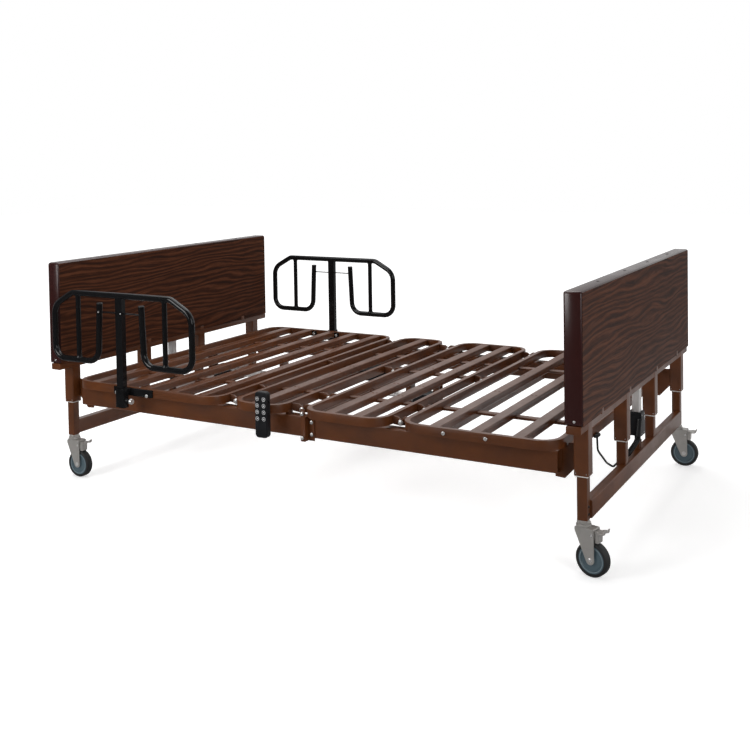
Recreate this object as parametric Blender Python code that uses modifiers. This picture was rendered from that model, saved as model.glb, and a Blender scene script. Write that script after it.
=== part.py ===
"""Bariatric bed: two panelled ends on telescoping legs, a two-part base frame and a slatted deck in
four sections, with lifts, actuators, braked casters, assist rails and a hand control.

Metres, +Z up, +X towards the foot end, the near side with the hand control at -Y.
"""

import math

import bmesh
import bpy
from mathutils import Matrix, Vector

# Clearances
GAP = 0.0003            # between pieces that touch
LAP = 0.001             # how far welded members run into each other
RUN = 0.00006           # radial play of a pin in its bore
SLIDE = 0.0003          # play of a sliding fit on each side

# Bed ends
PANEL_IN = 1.016        # inner face of a panel, from the middle of the bed
PANEL_THICK = 0.057
PANEL_HALF = 0.686
PANEL_LOW = 0.464
PANEL_TALL = 0.395
BAND = 0.0135           # width of the edge band round a panel
BAND_ROUND = 0.006
BEAM_IN = 1.0205
BEAM_DEEP = 0.046
BEAM_TALL = 0.0245
BEAM_HALF = PANEL_HALF - 0.002
SLEEVE_X = 1.0445
SLEEVE_SIZE = 0.045
SLEEVE_WALL = 0.002
SLEEVE_LOW = 0.300
SLEEVE_TOP = 0.780
GLIDE_TALL = 0.020
OUTER_Y = PANEL_HALF - 0.088
INNER_Y = 0.183
TAB_YS = (-0.489, -0.179, 0.178, 0.489)
TAB_WIDE = 0.022
TAB_LOW = 0.461
TAB_TOP = 0.478
TAB_DEEP = 0.006
CORNER = 0.003          # corner radius of square tube

# Lower frames
POST_SIZE = 0.03175
POST_WALL = 0.002
POST_LOW = 0.165
POST_TOP = 0.660
POST_FLOOR = 0.005
SILL_IN = 1.035
SILL_DEEP = 0.032
SILL_LOW = 0.1655
SILL_TALL = 0.0545
SILL_WALL = 0.0025

# Lifts
LIFT_X_SIZE = 0.028
LIFT_Y_SIZE = 0.030
LIFT_LOW = 0.3523
LIFT_TOP = 0.710
LIFT_ROD_R = 0.008
LIFT_ROD_LOW = 0.440
LIFT_LUG = 0.024
LIFT_LUG_LOW = 0.803
LIFT_LUG_TALL = 0.0117
LIFT_MOTOR_IN = 1.020
LIFT_MOTOR_DEEP = 0.046
LIFT_MOTOR_LOW = 0.270
LIFT_TAIL_HALF = 0.008
LIFT_PIN_X = 1.047
LIFT_PIN_Z = 0.243
LIFT_PIN_R = 0.004
EAR = 0.004

# Casters
STEM_Y = OUTER_Y - 0.001
TRAIL = 0.030
WHEEL_R = 0.0525
WHEEL_HALF = 0.0145
WHEEL_STEPS = 24
AXLE_R = 0.004
STEM_R = 0.006
LEG_IN = 0.0165
LEG_THICK = 0.003
CROWN_LOW = 0.142
CROWN_TALL = 0.004
PEDAL_PIN_X = 0.036
PEDAL_PIN_Z = 0.128
PEDAL_PIN_R = 0.003
CASTERS = (
    ("near_head", -1.0, -1.0, 0.0),
    ("far_head", -1.0, 1.0, 0.0),
    ("near_foot", 1.0, -1.0, -12.0),
    ("far_foot", 1.0, 1.0, 3.0),
)

# Base frame
DECK_HALF = PANEL_HALF - 0.014
SIDE_Y = DECK_HALF - 0.072
SIDE_WIDE = 0.040
SIDE_TALL = 0.070
SIDE_MID = 0.331
SIDE_WALL = 0.0025
SIDE_END = 0.972
SPLICE_X = 0.0885
SPLICE_PROUD = 0.025
CROSS_TALL = 0.035
CROSS_LOW = 0.2965
END_CROSS_LOW = 0.3120
PAD_TOP = 0.3747

# Deck
DECK_TOP = 0.405
RING_TALL = 0.030
RING_WIDE = 0.016
RING_CORNER = 0.070
SLAT_WIDE = 0.038
SLAT_TALL = 0.025
SLAT_DROP = 0.0006
STRUT_WIDE = 0.025
STRUT_TALL = 0.011
BACK = (-0.960, -0.270)
SEAT = (-0.213, 0.001)
THIGH = (0.083, 0.400)
FOOT = (0.457, 0.990)
BACK_SLATS = (-0.865, -0.738, -0.611, -0.484, -0.357)
SEAT_SLATS = (-0.111,)
THIGH_SLATS = (0.194, 0.2995)
FOOT_SLATS = (0.582, 0.7215, 0.861)

# Hinges between the sections
HINGE_Z = 0.382
BACK_HINGE_X = -0.2415
THIGH_HINGE_X = 0.042
FOOT_HINGE_X = 0.4285
HINGE_OUT = DECK_HALF - 0.082
HINGE_YS = (-HINGE_OUT, -0.415, 0.076, HINGE_OUT)
EAR_R = 0.011
EAR_THICK = 0.005
PIN_R = 0.005
PIN_HEAD_R = 0.008
PIN_HEAD = 0.004

# Back and knee actuators
BACK_ARM = 0.075        # from the back hinge to the anchor pin
BACK_TURN = 65.0
BACK_Y = 0.065
KNEE_ARM = 0.060
KNEE_TURN = 32.0
KNEE_Y = -0.055
ANCHOR_R = 0.005
ROD_R = 0.0065
TUBE_R = 0.0165
YOKE_HALF = 0.006
YOKE_WALL = 0.0065
SLOT_PLAY = 0.0013
TAIL_PIN_R = 0.005
BACK_TUBE = (-0.440, -0.7597)
BACK_MOTOR = (-0.760, -0.840)
BACK_TAIL = -0.866
KNEE_TUBE = (0.120, 0.2077)
KNEE_MOTOR = (0.208, 0.282)
KNEE_TAIL = 0.303
HANGER = 0.004

# Assist rails
RAIL_Y = DECK_HALF + 0.028
NEAR_RAIL_X = -0.687
FAR_RAIL_X = -0.630
RAIL_R = 0.0115
STRUT_R = 0.0095
RAIL_TOP = 0.750
RAIL_LOW = 0.495
RAIL_REACH = 0.337
RAIL_LEG = 0.103
RAIL_STRUT = 0.213
RAIL_POST_X = 0.032
RAIL_POST_Y = 0.020
RAIL_POST_LOW = 0.336
LINK_Z = 0.685
LINK_R = 0.0025
CUP_X = 0.040
CUP_Y = 0.028
CUP_LOW = 0.335
CUP_TOP = 0.405
PLATE_THICK = 0.004
PLATE_LOW = 0.3755
PLATE_TOP = 0.4035
CLAMP_BOLT_Z = 0.3885
CLAMP_BOLT_R = 0.004
CLAMP_XS = (-0.707, -0.580)
PULL_Z = 0.360
PULL_R = 0.004
BARREL_R = 0.0085
BARREL_LONG = 0.012
PIN_THROW = 0.0075

# Hand control
HAND_X = -0.055
HAND_HALF = 0.025
HAND_LOW = 0.298
HAND_TOP = 0.456
HAND_BACK = DECK_HALF + 0.0055
HAND_THICK = 0.025
KEY_R = 0.0075
KEY_XS = (-0.0135, 0.0135)
KEY_ZS = (0.432, 0.4095, 0.387, 0.3645)
KEY_PROUD = 0.0015
KEY_DEEP = 0.005

# Cable of the foot lift
CABLE_R = 0.0035
CONDUIT_R = 0.009
END_CROSS_EDGE = 0.968

ORDERS = {"X": "YZX", "Y": "XZY", "Z": "XYZ"}


def clear_scene():
    for obj in list(bpy.data.objects):
        bpy.data.objects.remove(obj, do_unlink=True)


def new_collection(name):
    coll = bpy.data.collections.new(name)
    bpy.context.scene.collection.children.link(coll)
    return coll


clear_scene()
PARTS = new_collection("bariatric_bed")
CUTTERS = new_collection("cutters")


def material(name, colour, metallic=0.0, roughness=0.5):
    mat = bpy.data.materials.new(name)
    mat.use_nodes = True
    shader = mat.node_tree.nodes["Principled BSDF"]
    shader.inputs["Base Color"].default_value = (*colour, 1.0)
    shader.inputs["Metallic"].default_value = metallic
    shader.inputs["Roughness"].default_value = roughness
    return mat


BROWN = material("brown_powder_coat", (0.16, 0.07, 0.04), 0.0, 0.35)
WALNUT = material("walnut_laminate", (0.06, 0.025, 0.015), 0.0, 0.4)
MAROON = material("edge_band", (0.07, 0.025, 0.025), 0.0, 0.4)
BLACK = material("black_plastic", (0.02, 0.02, 0.022), 0.0, 0.4)
GLOSS = material("black_gloss", (0.01, 0.01, 0.011), 0.0, 0.25)
SILVER = material("aluminium", (0.6, 0.6, 0.6), 1.0, 0.4)
ZINC = material("zinc_plate", (0.5, 0.5, 0.48), 1.0, 0.3)
TYRE = material("wheel_rubber", (0.03, 0.03, 0.03), 0.0, 0.7)
KEY = material("key_rubber", (0.05, 0.05, 0.055), 0.0, 0.6)


# Basic solids

def solid(bm, place=None):
    """Store a bmesh as a plain solid among the cutters, placed in the world."""
    if place is not None:
        bm.transform(place)
    bmesh.ops.recalc_face_normals(bm, faces=bm.faces)
    mesh = bpy.data.meshes.new("solid")
    bm.to_mesh(mesh)
    bm.free()
    obj = bpy.data.objects.new("solid", mesh)
    CUTTERS.objects.link(obj)
    obj.hide_render = True
    obj.display_type = "WIRE"
    return obj


def axis_order(axis):
    """Numbers of the two axes across a direction, then of the direction itself."""
    return ["XYZ".index(letter) for letter in ORDERS[axis]]


def prism(points, axis, low, high, place=None):
    """Extrude a flat outline along an axis; the outline is given in the other two axes in order."""
    first, second, along = axis_order(axis)
    bm = bmesh.new()
    rows = []
    for level in (low, high):
        row = []
        for a, b in points:
            spot = [0.0, 0.0, 0.0]
            spot[first] = a
            spot[second] = b
            spot[along] = level
            row.append(bm.verts.new(spot))
        rows.append(row)
    bm.faces.new(rows[0])
    bm.faces.new(rows[1])
    count = len(points)
    for i in range(count):
        j = (i + 1) % count
        bm.faces.new((rows[0][i], rows[0][j], rows[1][j], rows[1][i]))
    return solid(bm, place)


def block(low, high, place=None):
    points = [(low[0], low[1]), (high[0], low[1]), (high[0], high[1]), (low[0], high[1])]
    return prism(points, "Z", low[2], high[2], place)


def span(middle, half):
    return middle - half, middle + half


def arc(centre, radius, start, end, steps):
    points = []
    for i in range(steps + 1):
        angle = math.radians(start + (end - start) * i / steps)
        points.append((centre[0] + radius * math.cos(angle), centre[1] + radius * math.sin(angle)))
    return points


def round_rect(low, high, radius, steps=1):
    """Rounded rectangle between two opposite corners."""
    x0, y0 = low
    x1, y1 = high
    r = radius
    points = arc((x1 - r, y1 - r), r, 0, 90, steps)
    points += arc((x0 + r, y1 - r), r, 90, 180, steps)
    points += arc((x0 + r, y0 + r), r, 180, 270, steps)
    points += arc((x1 - r, y0 + r), r, 270, 360, steps)
    return points


def square(cx, cy, size, radius=0.0):
    low = (cx - size / 2, cy - size / 2)
    high = (cx + size / 2, cy + size / 2)
    if radius:
        return round_rect(low, high, radius)
    return [low, (high[0], low[1]), high, (low[0], high[1])]


def bore_radius(pin, steps):
    """Radius of a faceted bore whose flats clear a pin turning in it."""
    return (pin + RUN) / math.cos(math.pi / steps)


def rod(centre, radius, axis, low, high, steps=20, place=None):
    """Round bar; centre is given in the two axes across it."""
    return prism(arc(centre, radius, 0, 360, steps)[:-1], axis, low, high, place)


def lathe(profile, axis, centre, steps, place=None, bored=False):
    """Turn (radius, along) pairs about an axis through centre; a bored profile closes on itself."""
    first, second, along = axis_order(axis)
    bm = bmesh.new()
    rings = []
    for radius, level in profile:
        row = []
        for i in range(steps):
            angle = 2 * math.pi * i / steps
            spot = [0.0, 0.0, 0.0]
            spot[first] = centre[first] + radius * math.cos(angle)
            spot[second] = centre[second] + radius * math.sin(angle)
            spot[along] = centre[along] + level
            row.append(bm.verts.new(spot))
        rings.append(row)
    pairs = list(zip(rings, rings[1:]))
    if bored:
        pairs.append((rings[-1], rings[0]))
    else:
        bm.faces.new(rings[0])
        bm.faces.new(rings[-1])
    for low, high in pairs:
        for i in range(steps):
            j = (i + 1) % steps
            bm.faces.new((low[i], low[j], high[j], high[i]))
    return solid(bm, place)


def sweep(path, radius, sides, place=None):
    """Round tube along a smooth open path."""
    path = [Vector(p) for p in path]
    bm = bmesh.new()
    rows = []
    across = None
    for i, point in enumerate(path):
        before = path[max(i - 1, 0)]
        after = path[min(i + 1, len(path) - 1)]
        ahead = (after - before).normalized()
        if across is None:
            across = ahead.orthogonal().normalized()
        across = (across - ahead * across.dot(ahead)).normalized()
        other = ahead.cross(across)
        row = []
        for k in range(sides):
            angle = 2 * math.pi * k / sides
            offset = across * math.cos(angle) + other * math.sin(angle)
            row.append(bm.verts.new(point + offset * radius))
        rows.append(row)
    bm.faces.new(rows[0])
    bm.faces.new(rows[-1])
    for low, high in zip(rows, rows[1:]):
        for k in range(sides):
            j = (k + 1) % sides
            bm.faces.new((low[k], low[j], high[j], high[k]))
    return solid(bm, place)


def bent_path(corners, steps=4):
    """Round the inner corners of a polyline; each corner is (point, radius)."""
    points = [Vector(corners[0][0])]
    for before, here, after in zip(corners, corners[1:], corners[2:]):
        spot = Vector(here[0])
        radius = here[1]
        back = (Vector(before[0]) - spot).normalized()
        ahead = (Vector(after[0]) - spot).normalized()
        half = back.angle(ahead) / 2
        reach = radius / math.tan(half)
        middle = spot + (back + ahead).normalized() * (radius / math.sin(half))
        start = (spot + back * reach - middle).normalized()
        end = (spot + ahead * reach - middle).normalized()
        for i in range(steps + 1):
            points.append(middle + start.slerp(end, i / steps) * radius)
    points.append(Vector(corners[-1][0]))
    return points


# Making a part

def add_boolean(obj, other, operation):
    modifier = obj.modifiers.new(operation.lower(), "BOOLEAN")
    modifier.operation = operation
    modifier.solver = "EXACT"
    modifier.object = other


def part(name, mat, solids, cuts=(), origin=None, smooth=False):
    """Weld the solids, take the cuts away and keep the result as one named part."""
    obj = solids[0]
    CUTTERS.objects.unlink(obj)
    PARTS.objects.link(obj)
    obj.name = name
    obj.data.name = name
    obj.hide_render = False
    obj.display_type = "TEXTURED"
    obj.data.materials.append(mat)
    if smooth:
        obj.data.shade_smooth()
    for other in solids[1:]:
        add_boolean(obj, other, "UNION")
    for other in cuts:
        add_boolean(obj, other, "DIFFERENCE")
    if origin is not None:
        obj.data.transform(Matrix.Translation(-Vector(origin)))
        obj.location = origin
    return obj


def mirror_x(side, near, far):
    """Low and high X of a member at one end of the bed."""
    ends = (side * near, side * far)
    return min(ends), max(ends)


# Bed ends

def sleeve_spots():
    return (-OUTER_Y, -INNER_Y, INNER_Y, OUTER_Y)


def panel_pockets(side):
    """Pockets for the sleeves and the lift, and notches for the tabs."""
    cuts = []
    x = side * SLEEVE_X
    for y in sleeve_spots():
        outline = square(x, y, SLEEVE_SIZE + 2 * GAP)
        cuts.append(prism(outline, "Z", PANEL_LOW - LAP, SLEEVE_TOP + GAP))
    x_half = LIFT_X_SIZE / 2 + 0.002
    y_half = LIFT_Y_SIZE / 2 + 0.002
    cuts.append(block((x - x_half, -y_half, PANEL_LOW - LAP), (x + x_half, y_half, LIFT_LUG_LOW)))
    half = LIFT_LUG / 2 + GAP
    top = LIFT_LUG_LOW + LIFT_LUG_TALL + GAP
    cuts.append(block((x - half, -half, LIFT_LUG_LOW - LAP), (x + half, half, top)))
    return cuts


def tab_faces(side):
    """X of the panel face that carries the tabs: always the face towards the foot."""
    if side > 0:
        return PANEL_IN + PANEL_THICK
    return -PANEL_IN


def tab_notches(side):
    face = tab_faces(side)
    cuts = []
    for y in TAB_YS:
        half = TAB_WIDE / 2 + GAP
        low = (face - TAB_DEEP - GAP, y - half, PANEL_LOW - LAP)
        cuts.append(block(low, (face + LAP, y + half, TAB_TOP + GAP)))
    return cuts


def panel(end, side):
    x0, x1 = mirror_x(side, PANEL_IN, PANEL_IN + PANEL_THICK)
    z0 = PANEL_LOW
    z1 = PANEL_LOW + PANEL_TALL
    in_y = PANEL_HALF - BAND
    outline = round_rect((-PANEL_HALF, z0), (PANEL_HALF, z1), 0.010, 3)
    rim = prism(outline, "X", x0, x1)
    bevel = rim.modifiers.new("edges", "BEVEL")
    bevel.width = BAND_ROUND
    bevel.segments = 2
    bevel.limit_method = "ANGLE"
    bevel.angle_limit = math.radians(50)
    window = block((x0 - LAP, -in_y, z0 + BAND), (x1 + LAP, in_y, z1 - BAND))
    part(end + "_panel_edge", MAROON, [rim], [window] + panel_pockets(side) + tab_notches(side))
    low = (x0, -in_y + GAP, z0 + BAND + GAP)
    high = (x1, in_y - GAP, z1 - BAND - GAP)
    board = block(low, high)
    part(end + "_panel_board", WALNUT, [board], panel_pockets(side) + tab_notches(side))


def upper_frame(end, side):
    """Top beam under the panel with its four sleeves, tabs and the plates that hold the base."""
    x0, x1 = mirror_x(side, BEAM_IN, BEAM_IN + BEAM_DEEP)
    z0 = PANEL_LOW - GAP - BEAM_TALL
    beam_outline = round_rect((x0, z0), (x1, z0 + BEAM_TALL), CORNER)
    solids = [prism(beam_outline, "Y", -BEAM_HALF, BEAM_HALF)]
    cuts = []
    x = side * SLEEVE_X
    bore = SLEEVE_SIZE - 2 * SLEEVE_WALL
    throat = POST_SIZE + 2 * SLIDE
    for y in sleeve_spots():
        outline = square(x, y, SLEEVE_SIZE, CORNER)
        solids.append(prism(outline, "Z", SLEEVE_LOW, SLEEVE_TOP))
        cuts.append(prism(square(x, y, bore, 0.002), "Z", SLEEVE_LOW + GLIDE_TALL, SLEEVE_TOP + LAP))
        floor = SLEEVE_LOW - LAP
        cuts.append(prism(square(x, y, throat), "Z", floor, SLEEVE_LOW + GLIDE_TALL + LAP))
    x_half = LIFT_X_SIZE / 2 + 0.0015
    y_half = LIFT_Y_SIZE / 2 + 0.0015
    cuts.append(block((x - x_half, -y_half, z0 - LAP), (x + x_half, y_half, PANEL_LOW + LAP)))
    face = tab_faces(side)
    for y in TAB_YS:
        root = (face - TAB_DEEP - 0.006, y - TAB_WIDE / 2 + LAP / 4, TAB_LOW + LAP / 4)
        step = (face - TAB_DEEP + LAP, y + TAB_WIDE / 2 - LAP / 4, PANEL_LOW - GAP)
        solids.append(block(root, step))
        low = (face - TAB_DEEP, y - TAB_WIDE / 2, TAB_LOW)
        solids.append(block(low, (face - GAP, y + TAB_WIDE / 2, TAB_TOP)))
    for y_side in (-1, 1):
        inner = y_side * (SIDE_Y + SIDE_WIDE / 2 - SIDE_WALL - GAP)
        outer = inner - y_side * 0.008
        hook_x = mirror_x(side, 0.938, SLEEVE_X - SLEEVE_SIZE / 2 + LAP)
        low = (hook_x[0], min(inner, outer), SIDE_MID - 0.026)
        solids.append(block(low, (hook_x[1], max(inner, outer), SIDE_MID + 0.026)))
    part(end + "_upper_frame", BROWN, solids, cuts)


def lower_frame(end, side):
    """Four square posts on a sill, with the clevis of the lift."""
    x = side * SLEEVE_X
    x0, x1 = mirror_x(side, SILL_IN, SILL_IN + SILL_DEEP)
    top = SILL_LOW + SILL_TALL
    sill_y = OUTER_Y - POST_SIZE / 2 + LAP
    outline = round_rect((x0, SILL_LOW), (x1, top), CORNER)
    solids = [prism(outline, "Y", -sill_y, sill_y)]
    cuts = []
    bore = POST_SIZE - 2 * POST_WALL
    for y in sleeve_spots():
        low = POST_LOW if abs(y) > 0.5 else top - 0.02
        solids.append(prism(square(x, y, POST_SIZE, 0.002), "Z", low, POST_TOP))
        cuts.append(prism(square(x, y, bore), "Z", max(low, SILL_LOW) + POST_FLOOR, POST_TOP + LAP))
    w = SILL_WALL
    hollow = round_rect((x0 + w, SILL_LOW + w), (x1 - w, top - w), 0.001, 1)
    cuts.append(prism(hollow, "Y", LAP + w - sill_y, sill_y - LAP - w))
    for y_side in (-1, 1):
        edges = sorted((y_side * (LIFT_TAIL_HALF + GAP), y_side * (LIFT_TAIL_HALF + GAP + EAR)))
        ear_x = mirror_x(side, SILL_IN + 0.002, SILL_IN + 0.023)
        solids.append(block((ear_x[0], edges[0], top - LAP), (ear_x[1], edges[1], LIFT_PIN_Z + 0.010)))
        spot = (x, y_side * STEM_Y)
        cuts.append(rod(spot, STEM_R + SLIDE, "Z", POST_LOW - LAP, POST_LOW + 2 * POST_FLOOR))
    reach = LIFT_TAIL_HALF + GAP + EAR + 0.003
    solids.append(rod((side * LIFT_PIN_X, LIFT_PIN_Z), LIFT_PIN_R, "Y", -reach, reach))
    part(end + "_lower_frame", BROWN, solids, cuts)


def lift(end, side):
    """Lift of one bed end: motor and tube ride on the sill, the rod hangs in the panel."""
    x = side * SLEEVE_X
    low = (x - LIFT_X_SIZE / 2, -LIFT_Y_SIZE / 2)
    high = (x + LIFT_X_SIZE / 2, LIFT_Y_SIZE / 2)
    tube = prism(round_rect(low, high, 0.004), "Z", LIFT_LOW, LIFT_TOP)
    bore = rod((x, 0.0), LIFT_ROD_R + SLIDE, "Z", LIFT_LOW - LAP, LIFT_TOP + LAP)
    part(end + "_lift_tube", SILVER, [tube], [bore])

    top = LIFT_LOW - GAP
    base = LIFT_MOTOR_LOW
    outline = [(-0.021, top), (-0.021, base), (0.025, base), (0.031, base + 0.007), (0.022, top)]
    x0, x1 = mirror_x(side, LIFT_MOTOR_IN, LIFT_MOTOR_IN + LIFT_MOTOR_DEEP)
    housing = prism(outline, "X", x0, x1)
    tail_x = mirror_x(side, SILL_IN + 0.003, SILL_IN + 0.021)
    tail = block((tail_x[0], -LIFT_TAIL_HALF, 0.231), (tail_x[1], LIFT_TAIL_HALF, base + LAP))
    eye = rod((side * LIFT_PIN_X, LIFT_PIN_Z), bore_radius(LIFT_PIN_R, 20), "Y", -0.02, 0.02)
    part(end + "_lift_motor", BLACK, [housing, tail], [eye])

    stem = rod((x, 0.0), LIFT_ROD_R, "Z", LIFT_ROD_LOW, LIFT_LUG_LOW + LAP)
    half = LIFT_LUG / 2
    lug_top = LIFT_LUG_LOW + LIFT_LUG_TALL
    lug = block((x - half, -half, LIFT_LUG_LOW), (x + half, half, lug_top))
    part(end + "_lift_rod", ZINC, [lug, stem])


# Casters

def caster_fork(name, place, origin):
    profile = [(0.0205, 0.1425), (0.0235, 0.146), (0.0235, 0.1525), (0.0205, 0.1545)]
    profile += [(0.0205, 0.1590), (0.017, POST_LOW - GAP), (STEM_R, POST_LOW - GAP), (STEM_R, 0.185)]
    head = lathe(profile, "Z", (0, 0, 0), 16, place)
    out = LEG_IN + LEG_THICK
    top = CROWN_LOW + CROWN_TALL
    low = (-0.0206, -out + 0.0004, CROWN_LOW)
    solids = [head, block(low, (0.0426, out - 0.0004, top - 0.0004), place)]
    outline = [(0.043, top), (-0.021, top), (-0.021, 0.135)]
    outline += arc((TRAIL, WHEEL_R), 0.0135, 205, 375, 5)
    outline += [(0.043, 0.118)]
    for y_side in (-1, 1):
        leg = sorted((y_side * LEG_IN, y_side * out))
        solids.append(prism(outline, "Y", leg[0], leg[1], place))
    reach = out + 0.003
    solids.append(rod((TRAIL, WHEEL_R), AXLE_R, "Y", -reach, reach, 12, place))
    for y_side in (-1, 1):
        nut = sorted((y_side * (out - LAP), y_side * (out + 0.0025)))
        solids.append(rod((TRAIL, WHEEL_R), 0.0065, "Y", nut[0], nut[1], 6, place))
    pin = rod((PEDAL_PIN_X, PEDAL_PIN_Z), PEDAL_PIN_R, "Y", -out - LAP, out + LAP, 8, place)
    solids.append(pin)
    part(name, ZINC, solids, origin=origin)


def caster_wheel(name, place, origin):
    half = WHEEL_HALF
    side = [(bore_radius(AXLE_R, WHEEL_STEPS), half), (0.012, half), (0.013, 0.0105), (0.0345, 0.0105)]
    side += [(0.036, 0.0135), (0.0495, 0.0135), (WHEEL_R, 0.0085)]
    profile = side + [(radius, -level) for radius, level in reversed(side)]
    wheel = lathe(profile, "Y", (TRAIL, 0, WHEEL_R), WHEEL_STEPS, place, bored=True)
    part(name, TYRE, [wheel], origin=origin)


def caster_pedal(name, place, origin):
    body = [(0.030, 0.1235), (0.030, 0.1335), (0.040, 0.140), (0.056, 0.140), (0.056, 0.1365)]
    body += [(0.0545, 0.106), (0.044, 0.106), (0.040, 0.1235)]
    solids = [prism(body, "Y", -0.0135, 0.0135, place)]
    for y_side in (-1, 1):
        lobe = arc((0.0645, y_side * 0.0125), 0.0115, 0, 360, 10)[:-1]
        solids.append(prism(lobe, "Z", 0.1366, 0.1396, place))
        horn = [(0.0715, 0.1380), (0.0755, 0.1380), (0.0775, 0.1480), (0.0755, 0.1490)]
        edges = sorted((y_side * 0.007, y_side * 0.018))
        solids.append(prism(horn, "Y", edges[0], edges[1], place))
    solids.append(block((0.050, -0.013, 0.1368), (0.066, 0.013, 0.1394), place))
    bore = rod((PEDAL_PIN_X, PEDAL_PIN_Z), bore_radius(PEDAL_PIN_R, 8), "Y", -0.02, 0.02, 8, place)
    part(name, ZINC, solids, [bore], origin)


def caster(name, x_side, y_side, turn):
    stem = Vector((x_side * SLEEVE_X, y_side * STEM_Y, 0.0))
    place = Matrix.Translation(stem) @ Matrix.Rotation(math.radians(turn), 4, "Z")
    axle = place @ Vector((TRAIL, 0.0, WHEEL_R))
    pivot = place @ Vector((PEDAL_PIN_X, 0.0, PEDAL_PIN_Z))
    caster_fork(name + "_caster_fork", place, (stem.x, stem.y, POST_LOW))
    caster_wheel(name + "_caster_wheel", place, axle)
    caster_pedal(name + "_brake_pedal", place, pivot)


# Base frame

def side_tubes(x0, x1):
    """The two hollow side tubes of one half of the base frame, and their bores."""
    tubes = []
    bores = []
    for y_side in (-1, 1):
        y0, y1 = span(y_side * SIDE_Y, SIDE_WIDE / 2)
        z0, z1 = span(SIDE_MID, SIDE_TALL / 2)
        tubes.append(prism(round_rect((y0, z0), (y1, z1), 0.004), "X", x0, x1))
        w = SIDE_WALL
        inner = round_rect((y0 + w, z0 + w), (y1 - w, z1 - w), 0.002, 1)
        bores.append(prism(inner, "X", x0 - LAP, x1 + LAP))
    return tubes, bores


def cross_tube(x0, x1, low):
    reach = SIDE_Y - SIDE_WIDE / 2 + LAP
    outline = round_rect((x0, low), (x1, low + CROSS_TALL), CORNER, 1)
    return prism(outline, "Y", -reach, reach)


def anchor(tube_edge, pin_x, pin_z, y, direction):
    """Two ears on a cross tube and the pin the actuator pushes against."""
    solids = []
    inner = YOKE_HALF + 0.001
    for y_side in (-1, 1):
        edges = sorted((y + y_side * inner, y + y_side * (inner + 0.005)))
        start = tube_edge - direction * LAP
        facing = 90 if direction < 0 else -90
        outline = [(start, pin_z + 0.010), (start, pin_z - 0.010)]
        nose = arc((pin_x, pin_z), 0.010, facing, facing + 180, 6)
        if direction < 0:
            nose = nose[::-1]
        outline = outline + nose
        solids.append(prism(outline, "Y", edges[0], edges[1]))
    reach = inner + 0.007
    solids.append(rod((pin_x, pin_z), ANCHOR_R, "Y", y - reach, y + reach, 16))
    return solids


def back_anchor_spot():
    angle = math.radians(BACK_TURN / 2)
    return BACK_HINGE_X - BACK_ARM * math.sin(angle), HINGE_Z - BACK_ARM * math.cos(angle)


def knee_anchor_spot():
    angle = math.radians(KNEE_TURN / 2)
    return THIGH_HINGE_X + KNEE_ARM * math.sin(angle), HINGE_Z - KNEE_ARM * math.cos(angle)


def seat_rests():
    """Blocks on the side tubes that carry the seat section."""
    top = SIDE_MID + SIDE_TALL / 2
    solids = []
    for x in (SEAT[0] + RING_WIDE / 2, SEAT[1] - RING_WIDE / 2):
        for y_side in (-1, 1):
            y0, y1 = span(y_side * SIDE_Y, 0.012)
            solids.append(block((x - 0.007, y0, top - LAP), (x + 0.007, y1, PAD_TOP)))
    return solids


def base_head():
    tubes, bores = side_tubes(-SIDE_END, SPLICE_X - GAP / 2)
    solids = [tubes[0], cross_tube(-0.968, -0.933, END_CROSS_LOW), tubes[1]]
    solids.append(cross_tube(-0.240, -0.205, CROSS_LOW))
    solids.append(cross_tube(-0.020, 0.015, CROSS_LOW))
    for y in (-0.40, 0.40):
        low = (BACK[0] + 0.002, y - 0.015, END_CROSS_LOW + CROSS_TALL - LAP)
        solids.append(block(low, (BACK[0] + 0.014, y + 0.015, PAD_TOP)))
    pin_x, pin_z = back_anchor_spot()
    solids += anchor(-0.240, pin_x, pin_z, BACK_Y, -1)
    pin_x, pin_z = knee_anchor_spot()
    solids += anchor(0.015, pin_x, pin_z, KNEE_Y, 1)
    part("base_frame_head", BROWN, solids + seat_rests(), bores)


def base_foot():
    tubes, bores = side_tubes(SPLICE_X + GAP / 2, SIDE_END)
    solids = [tubes[0], cross_tube(0.933, 0.968, END_CROSS_LOW), tubes[1]]
    solids.append(cross_tube(0.465, 0.500, CROSS_LOW))
    for y in (-0.36, 0.36):
        low = (0.940, y - 0.015, END_CROSS_LOW + CROSS_TALL - LAP)
        solids.append(block(low, (0.962, y + 0.015, PAD_TOP)))
    part("base_frame_foot", BROWN, solids, bores)


def splice(name, y_side):
    """Folded bracket over the joint of the two frame halves, with its bolt heads."""
    face = SIDE_Y + SIDE_WIDE / 2
    near = face + GAP
    out = face + SPLICE_PROUD
    t = 0.003
    hat = [(0.069, near), (0.072, near), (0.072, out - t), (0.084, out - t), (0.084, near)]
    hat += [(0.111, near), (0.111, near + t), (0.087, near + t), (0.087, out), (0.069, out)]
    outline = [(x, y_side * y) for x, y in hat]
    solids = [prism(outline, "Z", 0.288, DECK_TOP - RING_TALL - 0.0035)]
    edges = sorted((y_side * out, y_side * (out - t)))
    solids.append(block((0.0692, edges[0] + 0.0002, DECK_TOP - 0.0345), (0.0868, edges[1] - 0.0002, DECK_TOP - 0.006)))
    for z in (0.301, 0.383):
        edges = sorted((y_side * (out - LAP), y_side * (out + 0.004)))
        solids.append(rod((0.0775, z), 0.006, "Y", edges[0], edges[1], 12))
    edges = sorted((y_side * (near + t - LAP), y_side * (near + t + 0.003)))
    for z in (0.310, 0.352):
        solids.append(rod((0.101, z), 0.005, "Y", edges[0], edges[1], 12))
    part(name, BROWN, solids)


# Deck

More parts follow.
